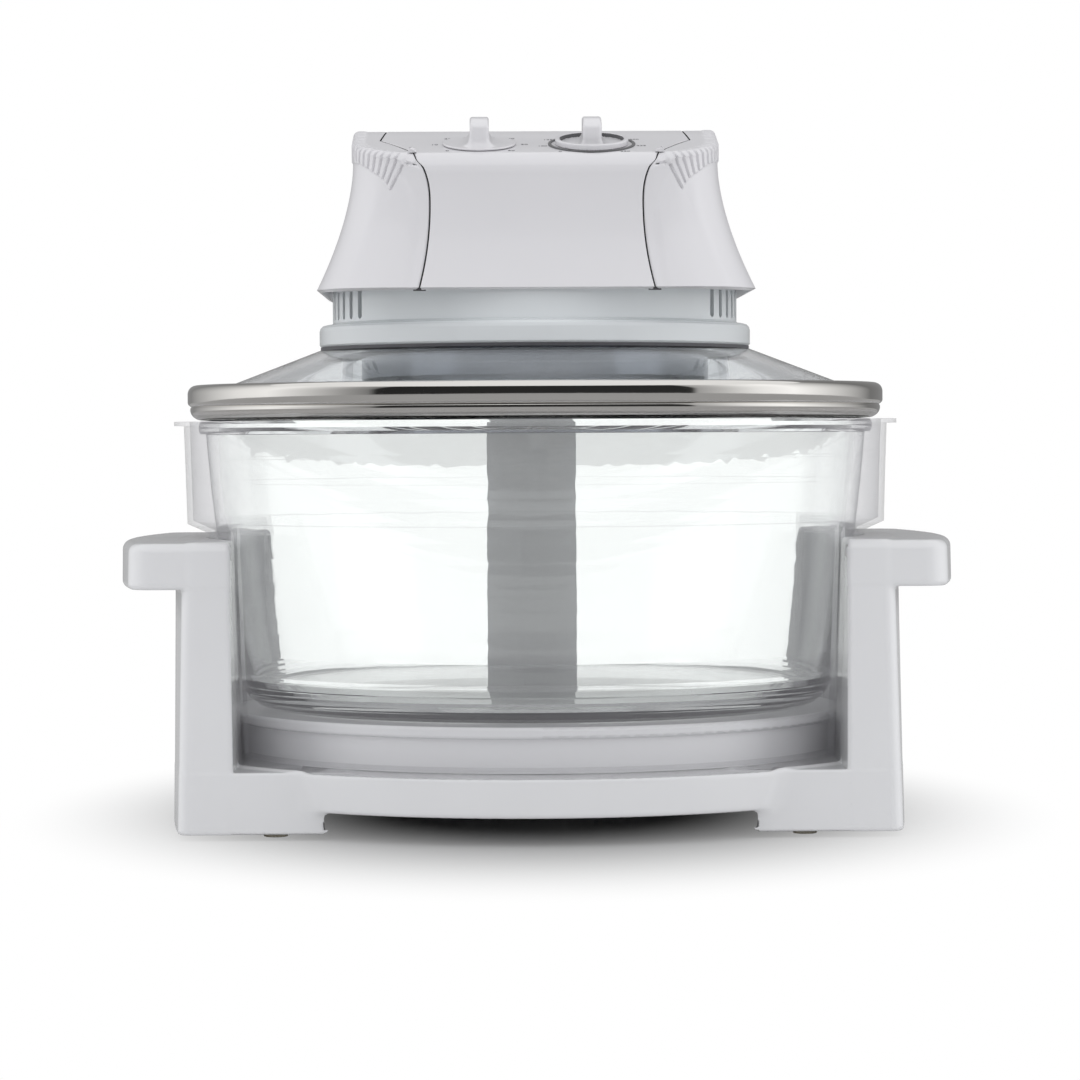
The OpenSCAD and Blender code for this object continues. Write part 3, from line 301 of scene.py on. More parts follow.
def mirrored(points, faces, normals):
    """Adds the mirror image of a half mesh whose cut edge lies at x = 0."""
    n = len(points)
    points = np.concatenate([points, points * (-1, 1, 1)])
    normals = np.concatenate([normals, normals * (-1, 1, 1)])
    faces = np.concatenate([faces, faces[:, ::-1] + n])
    on_cut = 0.02
    middle = np.where(np.abs(points[:n, 0]) < on_cut)[0]
    other = np.arange(2 * n)
    other[middle + n] = middle
    points[middle, 0] = 0
    faces = other[faces]
    used = np.unique(faces)
    place = np.full(2 * n, -1)
    place[used] = np.arange(len(used))
    faces = place[faces]
    flat = (np.sort(faces, axis=1)[:, 1:] == np.sort(faces, axis=1)[:, :-1]).any(1)
    return points[used], faces[~flat], normals[used]


def net(field, low, high, step):
    """A quad mesh of the surface where field is zero: points, faces and normals."""
    axes = [np.arange(a, b + step, step) for a, b in zip(low, high)]
    d = field(*np.meshgrid(*axes, indexing="ij"))
    inside = d < 0
    size = np.array(d.shape)
    count = np.zeros(size - 1, np.int8)
    for i in (0, 1):
        for j in (0, 1):
            for k in (0, 1):
                count += inside[i:size[0] - 1 + i, j:size[1] - 1 + j, k:size[2] - 1 + k]
    mixed = (count > 0) & (count < 8)
    index = np.full(mixed.shape, -1)
    index[mixed] = np.arange(mixed.sum())
    cell = np.argwhere(mixed)
    total = np.zeros((len(cell), 3))
    hits = np.zeros(len(cell))
    for axis in range(3):
        others = [o for o in range(3) if o != axis]
        for p in (0, 1):
            for q in (0, 1):
                a = np.zeros(3, int)
                a[others[0]], a[others[1]] = p, q
                b = a.copy()
                b[axis] = 1
                da = d[tuple((cell + a).T)]
                db = d[tuple((cell + b).T)]
                cross = (da < 0) != (db < 0)
                t = np.where(cross, da / np.where(cross, da - db, 1), 0)
                total[cross] += (cell + a + t[:, None] * (b - a))[cross]
                hits[cross] += 1
    points = np.array([x[0] for x in axes]) + step * total / hits[:, None]
    tiny = 0.02

    def slope(v):
        g = np.zeros_like(v)
        for k in range(3):
            e = np.zeros(3)
            e[k] = tiny
            g[:, k] = (field(*(v + e).T) - field(*(v - e).T)) / (2 * tiny)
        return g

    # Newton's method brings the points onto the surface
    for _ in range(4):
        g = slope(points)
        move = -g * (field(*points.T) / np.maximum((g * g).sum(1), 0.05))[:, None]
        length = np.maximum(np.linalg.norm(move, axis=1), 1e-9)
        points += move * np.minimum(1, 0.5 * step / length)[:, None]
    g = slope(points)
    normals = g / np.maximum(np.linalg.norm(g, axis=1), 1e-9)[:, None]
    faces = []
    for axis in range(3):
        u, v = (axis + 1) % 3, (axis + 2) % 3
        e1, e2 = np.eye(3, dtype=int)[u], np.eye(3, dtype=int)[v]
        here = [slice(None)] * 3
        here[axis] = slice(0, -1)
        there = [slice(None)] * 3
        there[axis] = slice(1, None)
        near, far = inside[tuple(here)], inside[tuple(there)]
        for first, flip in ((True, False), (False, True)):
            p = np.argwhere((near == first) & (far != first))
            keep = (p[:, u] > 0) & (p[:, v] > 0)
            keep &= (p[:, u] < size[u] - 1) & (p[:, v] < size[v] - 1)
            p = p[keep]
            quad = np.stack([index[tuple((p - e1 - e2).T)], index[tuple((p - e2).T)],
                             index[tuple(p.T)], index[tuple((p - e1).T)]], axis=1)
            faces.append(quad[:, ::-1] if flip else quad)
    return points, np.concatenate(faces), normals


# ---------------------------------------------------------------- base

# The tub that the moulding fits round: two flats, and a round part that drafts outwards
FLAT_X = 137.0
FLAT_DRAFT = 3.2
ROUND_R = 150.0
ROUND_DRAFT = 6.4
RECESS_SLOPE = 0.45
RECESS_NORM = 0.91
TUB_GAP = 0.4
# Stands and handles
STAND_X = 171.0
STAND_H = 128.7
STAND_HALF_Y = 137.0
STAND_TAPER = 36.0
STAND_CORNER = 6.0
SIDE_BOW = 9.0
HANDLE_X = 196.0
HANDLE_Z = STAND_TOP - 20.9
HANDLE_CORNER = 12.0
FOOT_END_X = 89.3
FOOT_END_DRAFT = 0.17
# Wall, hollows, rear tab, foot pads and the bosses that hold them
SHELL = 3.0
FOOT_HOLLOW_X = 92.0
FLAT_WALL = 4.0
TAB_X = 30.0
TAB_Y = (149.0, 184.3)
PAD_X = 119.0
PAD_Y = 118.0
PAD_R = 5.5
PAD_EDGE = 0.6
BOSS_R = 7.5
# Radii of edges and fillets
FINE_EDGE = 1.2
TUB_EDGE = 1.4
TAB_CORNER = 1.5
SIDE_EDGE = 1.8
GRIP_EDGE = 2.5
END_EDGE = 3.0
TOP_EDGE = 4.0
FOOT_FILLET = 0.5
GRIP_FILLET = 1.5
DISC_FILLET = 4.0


def stand_plan(x, y, z, outer, r):
    """Distance to the outside of a stand: bowed outer face, slanted front and rear faces."""
    half = STAND_HALF_Y - STAND_TAPER * (z - PAD_H) / STAND_H
    t = np.clip(np.abs(y) / (half - r), 0, 1)
    q1 = x + SIDE_BOW * t * t - (outer - r)
    q2 = np.abs(y) - (half - r)
    outside = np.hypot(np.maximum(q1, 0), np.maximum(q2, 0))
    return outside + np.minimum(np.maximum(q1, q2), 0) - r


def tub_rise(z):
    """How far up the recessed sides of the tub a height lies, from 0 to 1."""
    return np.clip((z - DECK_Z) / (SHOULDER_Z - DECK_Z), 0, 1)


def tub_plan(x, y, z):
    """Distance to the tub's outside."""
    r = np.hypot(x, y)
    neck = np.clip((z - SHOULDER_Z) / (BOWL_TOP - SHOULDER_Z), 0, 1)
    outer = r - TUB_FOOT_R - (TUB_TOP_R - TUB_FOOT_R) * neck
    core = r - ROUND_R - ROUND_DRAFT * tub_rise(z)
    flats = np.abs(x) - FLAT_X - FLAT_DRAFT * tub_rise(z)
    top = (SHOULDER_Z - RECESS_SLOPE * (TUB_FOOT_R - r) - z) * RECESS_NORM
    return np.maximum(outer, np.minimum(np.minimum(core, flats), top))


def base_shape(x, y, z):
    """Distance to the base: hollow stands with handles, a disc between them and the rear tab."""
    x = np.abs(x)
    r = np.hypot(x, y)
    outer = stand_plan(x, y, z, STAND_X, STAND_CORNER)
    grip = stand_plan(x, y, z, HANDLE_X, HANDLE_CORNER)
    inner_end = FOOT_END_X - FOOT_END_DRAFT * (z - PAD_H) - x
    beside_tub = FLAT_X + FLAT_DRAFT * tub_rise(z) + TUB_GAP - x
    foot = round_and(round_and(outer, slab(z, PAD_H, DECK_Z), FINE_EDGE), inner_end, END_EDGE)
    column = round_and(round_and(outer, z - STAND_TOP, TOP_EDGE), beside_tub, SIDE_EDGE)
    column = round_and(column, PAD_H - z, FINE_EDGE)
    handle = round_and(round_and(grip, z - STAND_TOP, TOP_EDGE), HANDLE_Z - z, GRIP_EDGE)
    handle = round_and(handle, beside_tub, SIDE_EDGE)
    disc = round_and(r - BASE_R, slab(z, BAR_Z, DECK_Z), SIDE_EDGE)
    solid = round_or(round_or(foot, column, FOOT_FILLET), handle, GRIP_FILLET)
    solid = round_or(solid, disc, DISC_FILLET)
    room = np.maximum(tub_plan(x, y, z) - TUB_GAP, DECK_Z - z)
    solid = round_and(solid, -room, TUB_EDGE)
    under_deck = z - (DECK_Z - SHELL)
    around = np.maximum(SHELL + TUB_GAP - tub_plan(x, y, np.maximum(z, DECK_Z)),
                        FLAT_X + FLAT_WALL - x)
    in_disc = np.maximum(r - BASE_R + SHELL, under_deck)
    in_foot = np.maximum(np.maximum(outer + SHELL, FOOT_HOLLOW_X - x), under_deck)
    in_column = np.maximum(np.maximum(outer + SHELL, z - STAND_TOP + SHELL), around)
    in_handle = np.maximum(grip + SHELL, slab(z, HANDLE_Z + SHELL, STAND_TOP - SHELL))
    for hollow in (in_disc, in_foot, in_column, np.maximum(in_handle, around)):
        solid = np.maximum(solid, -hollow)
    tab = round_and(x - TAB_X, slab(y, *TAB_Y), TAB_CORNER)
    solid = np.minimum(solid, round_and(tab, slab(z, BAR_Z, DECK_Z), FINE_EDGE))
    boss = np.hypot(x - PAD_X, np.abs(y) - PAD_Y) - BOSS_R
    return np.minimum(solid, np.maximum(boss, slab(z, PAD_H, DECK_Z - 1)))


# The net covers the right half, and its box is a little larger than the moulding
BASE_GRID = 1.3
BASE_LOW = (-BASE_GRID / 2, -171.5, 0)
BASE_HIGH = (198.5, 187, 134)
verts, faces, normals = mirrored(*net(base_shape, BASE_LOW, BASE_HIGH, BASE_GRID))
piece("base_moulding", verts, faces, "base_frame", normals=normals)

pad_edge = arc(PAD_R - PAD_EDGE, PAD_EDGE, PAD_EDGE, -90, 0, 4)
verts, faces = lathe([(0, 0), *pad_edge, (PAD_R, PAD_H), (0, PAD_H)], 40)
all_verts, all_faces = [], []
for sx in (-1, 1):
    for sy in (-1, 1):
        start = len(all_verts)
        all_verts += [(v[0] + sx * PAD_X, v[1] + sy * PAD_Y, v[2]) for v in verts]
        all_faces += [tuple(start + k for k in f) for f in faces]
piece("foot_pads_round", all_verts, all_faces, "foot_pads")

# ---------------------------------------------------------------- lid rim


RIM_WALL = 0.8
ROLL_R = 4.2
BEAD_IN = 7.4
BEAD_UP = 5.2
BEAD_X = 6.2
BEAD_Z = 5.0
# The groove between roll and bead: steps in from RIM_R and up from RIM_Z
RIM_GROOVE = ((0.25, 7.8), (1.0, 7.1), (1.7, 6.6))


def rim_line(inset):
    """The (radius, height) line of the rolled rim from inside the top to inside the foot."""
    line = [(CONE_R + 1, RIM_TOP - inset), (RIM_R - 8, RIM_TOP - inset)]
    line += arc(RIM_R - ROLL_R, RIM_TOP - ROLL_R, ROLL_R - inset, 88, 0, 14)
    line += [(RIM_R - inset, RIM_Z + 8.6)]
    line += [(RIM_R - into - inset, RIM_Z + up) for into, up in RIM_GROOVE]
    for a in range(10, -86, -6):
        c, s = math.cos(math.radians(a)), math.sin(math.radians(a))
        line.append((RIM_R - BEAD_IN + (BEAD_X - inset) * c,
                     RIM_Z + BEAD_UP + (BEAD_Z - inset) * s))
    return line + [(RIM_R - 10.5, RIM_Z + inset)]


verts, faces = lathe(rim_line(0) + rim_line(RIM_WALL)[::-1], 256)
piece("lid_rim_rolled", verts, faces, "lid_rim", sharp=40)

# ---------------------------------------------------------------- knobs


KNOB_R = 17.0
BLADE_H = 12.6
BLADE_X = 4.4
BLADE_Y = KNOB_R - 6.3
WELL_RIM = 2.2
WELL_RIM_H = 2.9
WELL_FLOOR = 1.0
KNOB_GRID = 0.45
KNOB_LOW = (-18, -18, -0.5)
KNOB_HIGH = (18, 18, 14)


def knob_shape(well):
    """A disc whose middle rises into a blade. A well sinks the disc inside a raised rim."""
    def shape(x, y, z):
        r = np.hypot(x, y)
        edge = r - KNOB_R
        disc = round_and(edge, slab(z, 0.3, 1.9 if well else 1.2), 0.4)
        if well:
            rim = round_and(round_and(edge, z - WELL_RIM_H, 0.6), KNOB_R - WELL_RIM - r, 0.5)
            disc = np.minimum(np.maximum(disc, z - WELL_FLOOR), np.maximum(rim, 0.5 - z))
        crest = BLADE_H - 0.02 * y * y
        blade = round_and(np.abs(x) - BLADE_X, np.abs(y) - BLADE_Y, 2.4)
        blade = round_and(blade, slab(z, 0.5, crest), 1.2)
        return np.maximum(round_or(disc, blade, 3.4 if well else 4.2), edge)

    return shape


def tilted(v):
    """Turns vectors from a knob's own axes to those of the sloped panel."""
    c, s = math.cos(PANEL_SLOPE), math.sin(PANEL_SLOPE)
    return np.stack([v[:, 0], v[:, 1] * c - v[:, 2] * s, v[:, 1] * s + v[:, 2] * c], axis=1)


def on_panel(points, x):
    """Places points of a knob's own axes on the panel, with the knob's centre at x."""
    return tilted(np.asarray(points, float)) + (x, -KNOB_Y, KNOB_Z)


for node_name, x, well in (("timer_knob", -KNOB_X, False), ("thermostat_knob", KNOB_X, True)):
    verts, faces, normals = net(knob_shape(well), KNOB_LOW, KNOB_HIGH, KNOB_GRID)
    knob = piece(node_name + "_moulding", on_panel(verts, x), faces, node_name,
                 normals=tilted(normals))
    if well:
        # The inner wall of the raised rim gets the dark ring finish as painted shade
        knob.data.materials.append(FINISHES["dark_ring"])
        for face in knob.data.polygons:
            centre = verts[list(face.vertices)].mean(0)
            off = abs(math.hypot(centre[0], centre[1]) - KNOB_R + 2.0)
            face.material_index = 1 if off < 0.5 and WELL_FLOOR < centre[2] < 2.7 else 0


RING_IN = 18.8
RING_OUT = 20.2
RING_H = 0.6
BEVEL = 0.15
ring_loop = [(RING_IN, 0.02), (RING_OUT, 0.02), (RING_OUT, RING_H - BEVEL),
             (RING_OUT - BEVEL, RING_H), (RING_IN + BEVEL, RING_H), (RING_IN, RING_H - BEVEL)]
verts, faces = lathe(ring_loop, 96)
piece("dial_ring_trim", on_panel(verts, KNOB_X), faces, "dial_ring")

PRINT_THICK = 0.03
PRINT_LIFT = 0.05
# Name, place, numbers, angle of the first and step in degrees, radius and size of the print
DIALS = (
    ("timer", -KNOB_X, ("0", "10", "20", "30", "40", "50", "60"), -135, 45, 20.8, 3.4),
    ("heat", KNOB_X, ("0", "100", "125", "150", "175", "200", "225", "250"), -140, 40, 23.2, 3.0),
)


def printed(name, x, text, angle, radius, size):
    """A small number printed on the panel around a knob."""
    curve = bpy.data.curves.new(name, "FONT")
    curve.body = text
    curve.size = size
    curve.align_x = "CENTER"
    curve.align_y = "CENTER"
    curve.extrude = PRINT_THICK
    source = bpy.data.objects.new(name + "_source", curve)
    bpy.context.scene.collection.objects.link(source)
    graph = bpy.context.evaluated_depsgraph_get()
    mesh = bpy.data.meshes.new_from_object(source.evaluated_get(graph))
    points = np.array([v.co[:] for v in mesh.vertices])
    faces = [tuple(p.vertices) for p in mesh.polygons]
    bpy.data.objects.remove(source)
    a = math.radians(angle)
    points += (radius * math.sin(a), radius * math.cos(a), PRINT_LIFT)
    mark = piece(name, on_panel(points, x), faces, None, "print_grey", sharp=0)
    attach(mark, "lid")


for dial, x, texts, first, step, radius, size in DIALS:
    for i, text in enumerate(texts):
        printed(f"{dial}_number_{text}", x, text, first + step * i, radius, size)

# ---------------------------------------------------------------- head covers

# Profile of the roof over y: sloped panel, crown and the drop behind it. Its first and last
# stations lie beyond the walls.
RISE = math.tan(PANEL_SLOPE)
TOP_Y = np.array([-106.2, -35, -26, -18, 64.8, 84.8, 106.2])
TOP_H = np.array([BREAK_Z - 21.4 * RISE, CROWN_Z - 1.8 - 3 * RISE, CROWN_Z - 0.5, CROWN_Z,
                  CROWN_Z, CROWN_Z - 7, CROWN_Z - 16])
ROOF_Z = 300.0
FLARE_H = 58.0
FLARE_POWER = 1.65
COVER_WALL = 2.3
# Bend radii of the top edge at the front and at the sides, and the angle round a corner at
# which the columns of the front wall give way to those of the corner
FRONT_BEND = 7.0
SIDE_BEND = 2.4
JOIN = math.radians(12)
# The seams are nearest to each other at their waist, WAIST_H above the foot of the covers
SEAM_GAP = 0.7
SEAM_X = 48.6
WAIST_H = 38.0
EDGE_ROLL = 0.35
FOLD_ROWS = 9
TOP_ROWS = 13


def cover_half(z):
    """Half the width and depth of the covers at a height."""
    t = np.clip((z - COVER_Z) / FLARE_H, 0, 1)
    return COVER_HALF - COVER_FLARE * (1 - (1 - t) ** FLARE_POWER)


def top_z(y):
    """Height of the roof."""
    return np.interp(y, TOP_Y, TOP_H)


def smooth(t):
    """A soft step from 0 to 1."""
    t = np.clip(t, 0, 1)
    return t * t * (3 - 2 * t)


def front_seam(z):
    """Half the width between the seams on the front and rear walls."""
    d = np.minimum(z, BREAK_Z) - (COVER_Z + WAIST_H)
    below = 4.8 * (d / WAIST_H) ** 2
    above = 5.2 * (np.maximum(d, 0) / 21.3) ** 2.6
    return SEAM_X + np.where(d < 0, below, above)


def top_seam(y):
    """Half the width between the seams on the roof."""
    into = np.maximum(0, PANEL_FRONT - np.abs(y))
    wide = float(front_seam(BREAK_Z)) + 16.6 * (into / 35) ** 1.4
    return np.minimum(wide, PANEL_FRONT - 13.3 - 0.1 * (PANEL_FRONT / 2 - np.abs(y)))


def seam_x(y, z):
    """Half the width between the seams, on the walls and on top."""
    up = smooth((z - 302) / 5)
    return front_seam(z) * (1 - up) + top_seam(y) * up


# Louvres: distances round the top edge from the start of the corner, each with the height of
# the louvres' lower ends there
LOUVRE_END = ((9, 291.9), (12.6, 294.4), (16.6, 297), (20.8, 299), (24.9, 300.7), (28.8, 302.5),
              (32.5, 303.9), (36.1, 305), (45, 306.2), (60, 306.8))
LOUVRE_FOOT_Z = 288.0
LOUVRE_START = 9.0
LOUVRE_PITCH = 3.9
LOUVRE_LEAN = 0.38
LOUVRE_DEPTH = 1.3
BAND_H = 0.6
RIDGE_H = 0.55


def side_cover(sign):
    """One side cover as a grid.

    Columns run round the head from the front seam to the rear one. Rows run up the wall, over the
    top edge and in to the seam on top."""
    n_front, n_arc, n_side = 26, 150, 300
    part = np.concatenate([np.linspace(0, 1, n_front, endpoint=False),
                           1 + np.linspace(0, 1, n_arc, endpoint=False),
                           2 + np.linspace(0, 1, n_side, endpoint=False),
                           3 + np.linspace(0, 1, n_arc, endpoint=False),
                           4 + np.linspace(0, 1, n_front + 1)])
    cols = len(part)
    zone = np.minimum(np.floor(part), 4).astype(int)
    k = part - zone

    def outline(z, seam):
        """Point and outward direction of each column at its height."""
        half = cover_half(z)
        flat = half - COVER_CORNER
        free = np.maximum(flat - seam, 0)
        start = np.arcsin(np.clip((seam - flat) / COVER_CORNER, 0, 1))
        length = free + COVER_CORNER * (JOIN - start)
        run = length * np.where(zone == 0, k, 1 - k)
        on_flat = run < free
        ang = np.where(on_flat, 0, start + (run - free) / COVER_CORNER)
        ang = np.where(zone == 1, JOIN + (math.pi / 2 - JOIN) * k, ang)
        ang = np.where(zone == 3, JOIN + (math.pi / 2 - JOIN) * (1 - k), ang)
        ang = np.where(zone == 2, math.pi / 2, ang)
        x = np.where((zone % 4 == 0) & on_flat, seam + run, flat + COVER_CORNER * np.sin(ang))
        y = flat + COVER_CORNER * np.cos(ang)
        y = np.where(zone < 2, -y, y)
        y = np.where(zone == 2, flat * (2 * k - 1), y)
        nx = np.sin(ang)
        ny = np.where(zone < 2, -np.cos(ang), np.cos(ang))
        ny = np.where(zone == 2, 0, ny)
        return x, y, nx, ny

    full = np.full(cols, BREAK_Z)
    edge_x, edge_y, _, _ = outline(full, seam_x(-PANEL_FRONT, BREAK_Z))
    crest = top_z(edge_y)
    flat0 = PANEL_FRONT - COVER_CORNER
    ang0 = np.arctan2(np.maximum(edge_x - flat0, 0), np.abs(edge_y) - flat0)
    on_side = COVER_CORNER * math.pi / 2 + flat0 - np.abs(edge_y)
    along = np.where(zone == 2, on_side, COVER_CORNER * ang0)
    bend = SIDE_BEND + (FRONT_BEND - SIDE_BEND) * smooth((14 - along) / 10)
    end_s, end_z = np.array(LOUVRE_END).T

    def relief(z):
        """The louvres' raised band and grooves, and the ridge down the corner."""
        drop = np.maximum(crest - z, 0)
        s = along.copy()
        for _ in range(5):
            s = along - LOUVRE_LEAN * np.exp(-np.maximum(0, s - LOUVRE_START) / 18) * drop
        low_end = np.interp(s, end_s, end_z)
        n = np.maximum(np.round((s - LOUVRE_START) / LOUVRE_PITCH), 0)
        off = np.abs(s - LOUVRE_START - n * LOUVRE_PITCH)
        inside = smooth((z - low_end + 0.4) / 0.8)
        first = np.where(n == 0, smooth((crest - 4.2 - z) / 0.8), 1)
        groove = smooth((0.85 - off) / 0.5) * inside * first
        hook = smooth((0.8 - np.abs(z - crest + 4.0)) / 0.5)
        hook = hook * smooth((9.2 - along) / 0.6) * smooth((along - 4.2) / 0.8)
        raised = BAND_H * smooth((z - low_end + 0.6) / 0.9) * smooth((s - 8.0) / 0.9)
        ridge = RIDGE_H * np.exp(-((along - 21.8) / 5.0) ** 2) * smooth((low_end - z) / 9)
        return raised - LOUVRE_DEPTH * np.maximum(groove, hook) + ridge

    def seam_step(x, y, z):
        """The soft step beside the front and rear seams."""
        gap = x - seam_x(y, z)
        width = np.interp(z, [248, 281.6, 295, 303], [6.0, 6.5, 10.5, 14.0])
        near = smooth((width + 2.5 - gap) / 5.0)
        return -0.6 * near * np.where(zone == 2, 0, 1) * smooth((BREAK_Z + 6 - z) / 8)

    rows = []

    def wall_row(z):
        """Adds the row of points at the columns' heights z."""
        seam = seam_x(-cover_half(z), z) + SEAM_GAP / 2
        x, y, nx, ny = outline(z, seam)
        out = relief(z) + seam_step(x, y, z)
        rows.append(np.stack([x + nx * out, y + ny * out, z], axis=1))

    top_wall = crest - bend
    split = np.minimum(LOUVRE_FOOT_Z, top_wall - 4)
    for t in np.linspace(0, 1, 36):
        wall_row(COVER_Z + (split - COVER_Z) * t)
    for t in np.linspace(0, 1, 50)[1:]:
        wall_row(split + (top_wall - split) * t)
    for a in np.linspace(0, 90, FOLD_ROWS + 1)[1:]:
        c, s = math.cos(math.radians(a)), math.sin(math.radians(a))
        z = crest - bend * (1 - s)
        seam = seam_x(-PANEL_FRONT + bend[0] * (1 - c), z) + SEAM_GAP / 2
        x, y, nx, ny = outline(np.minimum(z, BREAK_Z + 30), seam)
        out = relief(z) + seam_step(x, y, z)
        x2, y2 = x - nx * (bend * (1 - c) - out * c), y - ny * (bend * (1 - c) - out * c)
        shift = np.where(zone == 2, 0, seam - np.where(zone < 2, x2[0], x2[-1]))
        x2 += shift * np.exp(-np.abs(x - np.where(zone < 2, x[0], x[-1])) / 8)
        rows.append(np.stack([x2, y2, top_z(y2) - bend * (1 - s) + out * s * 0.5], axis=1))
    rim = rows[-1]
    # The seam point that each column runs in to
    ys = np.linspace(-PANEL_FRONT + FRONT_BEND, -flat0, 200)
    xs = top_seam(ys) + SEAM_GAP / 2
    seam_run = np.concatenate([[0], np.cumsum(np.hypot(np.diff(xs), np.diff(ys)))])
    rim_run = np.concatenate([[0], np.cumsum(np.hypot(np.diff(rim[:, 0]), np.diff(rim[:, 1])))])
    n1 = n_front + n_arc
    front = np.interp(rim_run[:n1 + 1] / rim_run[n1] * seam_run[-1], seam_run, ys)
    seam_pt = np.zeros((cols, 2))
    seam_pt[:, 1] = rim[:, 1]
    seam_pt[:n1 + 1, 1] = front
    seam_pt[cols - n1 - 1:, 1] = -front[::-1]
    seam_pt[:, 0] = top_seam(seam_pt[:, 1]) + SEAM_GAP / 2
    top = relief(crest) * 0.5
    for t in np.linspace(0, 1, TOP_ROWS + 1)[1:]:
        x = rim[:, 0] + (seam_pt[:, 0] - rim[:, 0]) * t
        y = rim[:, 1] + (seam_pt[:, 1] - rim[:, 1]) * t
        dist = np.hypot(x - rim[:, 0], y - rim[:, 1])
        rows.append(np.stack([x, y, top_z(y) + top * smooth((3.6 - dist) / 1.2)], axis=1))
    grid = np.array(rows)
    # The edges at the seams roll inwards by EDGE_ROLL, in the direction the cover faces
    sunk = np.radians(np.concatenate([np.zeros(len(rows) - FOLD_ROWS - TOP_ROWS),
                                      np.linspace(10, 90, FOLD_ROWS), np.full(TOP_ROWS, 90)]))
    for col, inward in ((0, 1), (-1, -1)):
        grid[:, col, 1] += inward * EDGE_ROLL * np.cos(sunk)
        grid[:, col, 2] -= EDGE_ROLL * np.sin(sunk)
    grid[-1, 1:-1, 2] -= 0.3
    points = grid.reshape(-1, 3).copy()
    points[:, 0] *= sign
    faces = sheet_faces(len(rows), cols)
    if sign < 0:
        faces = [f[::-1] for f in faces]
    return points, faces


def thick(obj, amount):
    """Gives a sheet its thickness. Its rim is painted dark as shade in the seams, but for the foot
    of a cover.
    """
    mod = obj.modifiers.new("thickness", "SOLIDIFY")
    mod.thickness = amount * MM
    mod.offset = -1
    mod.use_even_offset = False
    # The rim faces, the walls of the seam gaps, get the dark finish as painted shade
    mod.material_offset_rim = 1
    obj.data.materials.append(FINISHES["seam_painted_shade"])
    apply_modifiers(obj)
    for face in obj.data.polygons:
        if face.material_index and face.center.z < (COVER_Z + 1) * MM:
            face.material_index = 0
    obj.data.set_sharp_from_angle(angle=math.radians(32))


for sign, node_name in ((-1, "left_cover"), (1, "right_cover")):
    verts, faces = side_cover(sign)
    thick(piece(node_name + "_moulding", verts, faces, node_name), COVER_WALL)


LIP_DEPTH = 2.6
LIP_IN = 2.5
LIP_OUT = 3.2
LIP_WALL = 1.0


def seam_lip(side, edge):
    """The tongue under a seam, on which the side cover closes. Its dark finish is painted shade."""
    verts = np.concatenate([edge - (side * LIP_IN, 0, 0), edge + (side * LIP_OUT, 0, 0)])
    faces = sheet_faces(2, len(edge))
    if side > 0:
        faces = [f[::-1] for f in faces]
    lip = piece("seam_lip_left" if side < 0 else "seam_lip_right", verts, faces, None, "seam_painted_shade")
    thick(lip, LIP_WALL)
    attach(lip, "lid")


# The tray in the roof in which the carry handle lies
TRAY_X = 47.5
TRAY_Y = (-7.5, 66.0)
TRAY_DEPTH = 9.5


def fold_row(side, a):
    """Place and corner inset of a row on the bend of the front (-1) or rear (1) top edge."""
    c, s = math.cos(math.radians(a)), math.sin(math.radians(a))
    y = side * (PANEL_FRONT - FRONT_BEND * (1 - c))
    return y, float(top_z(y)) - FRONT_BEND * (1 - s), FRONT_BEND * (1 - c)


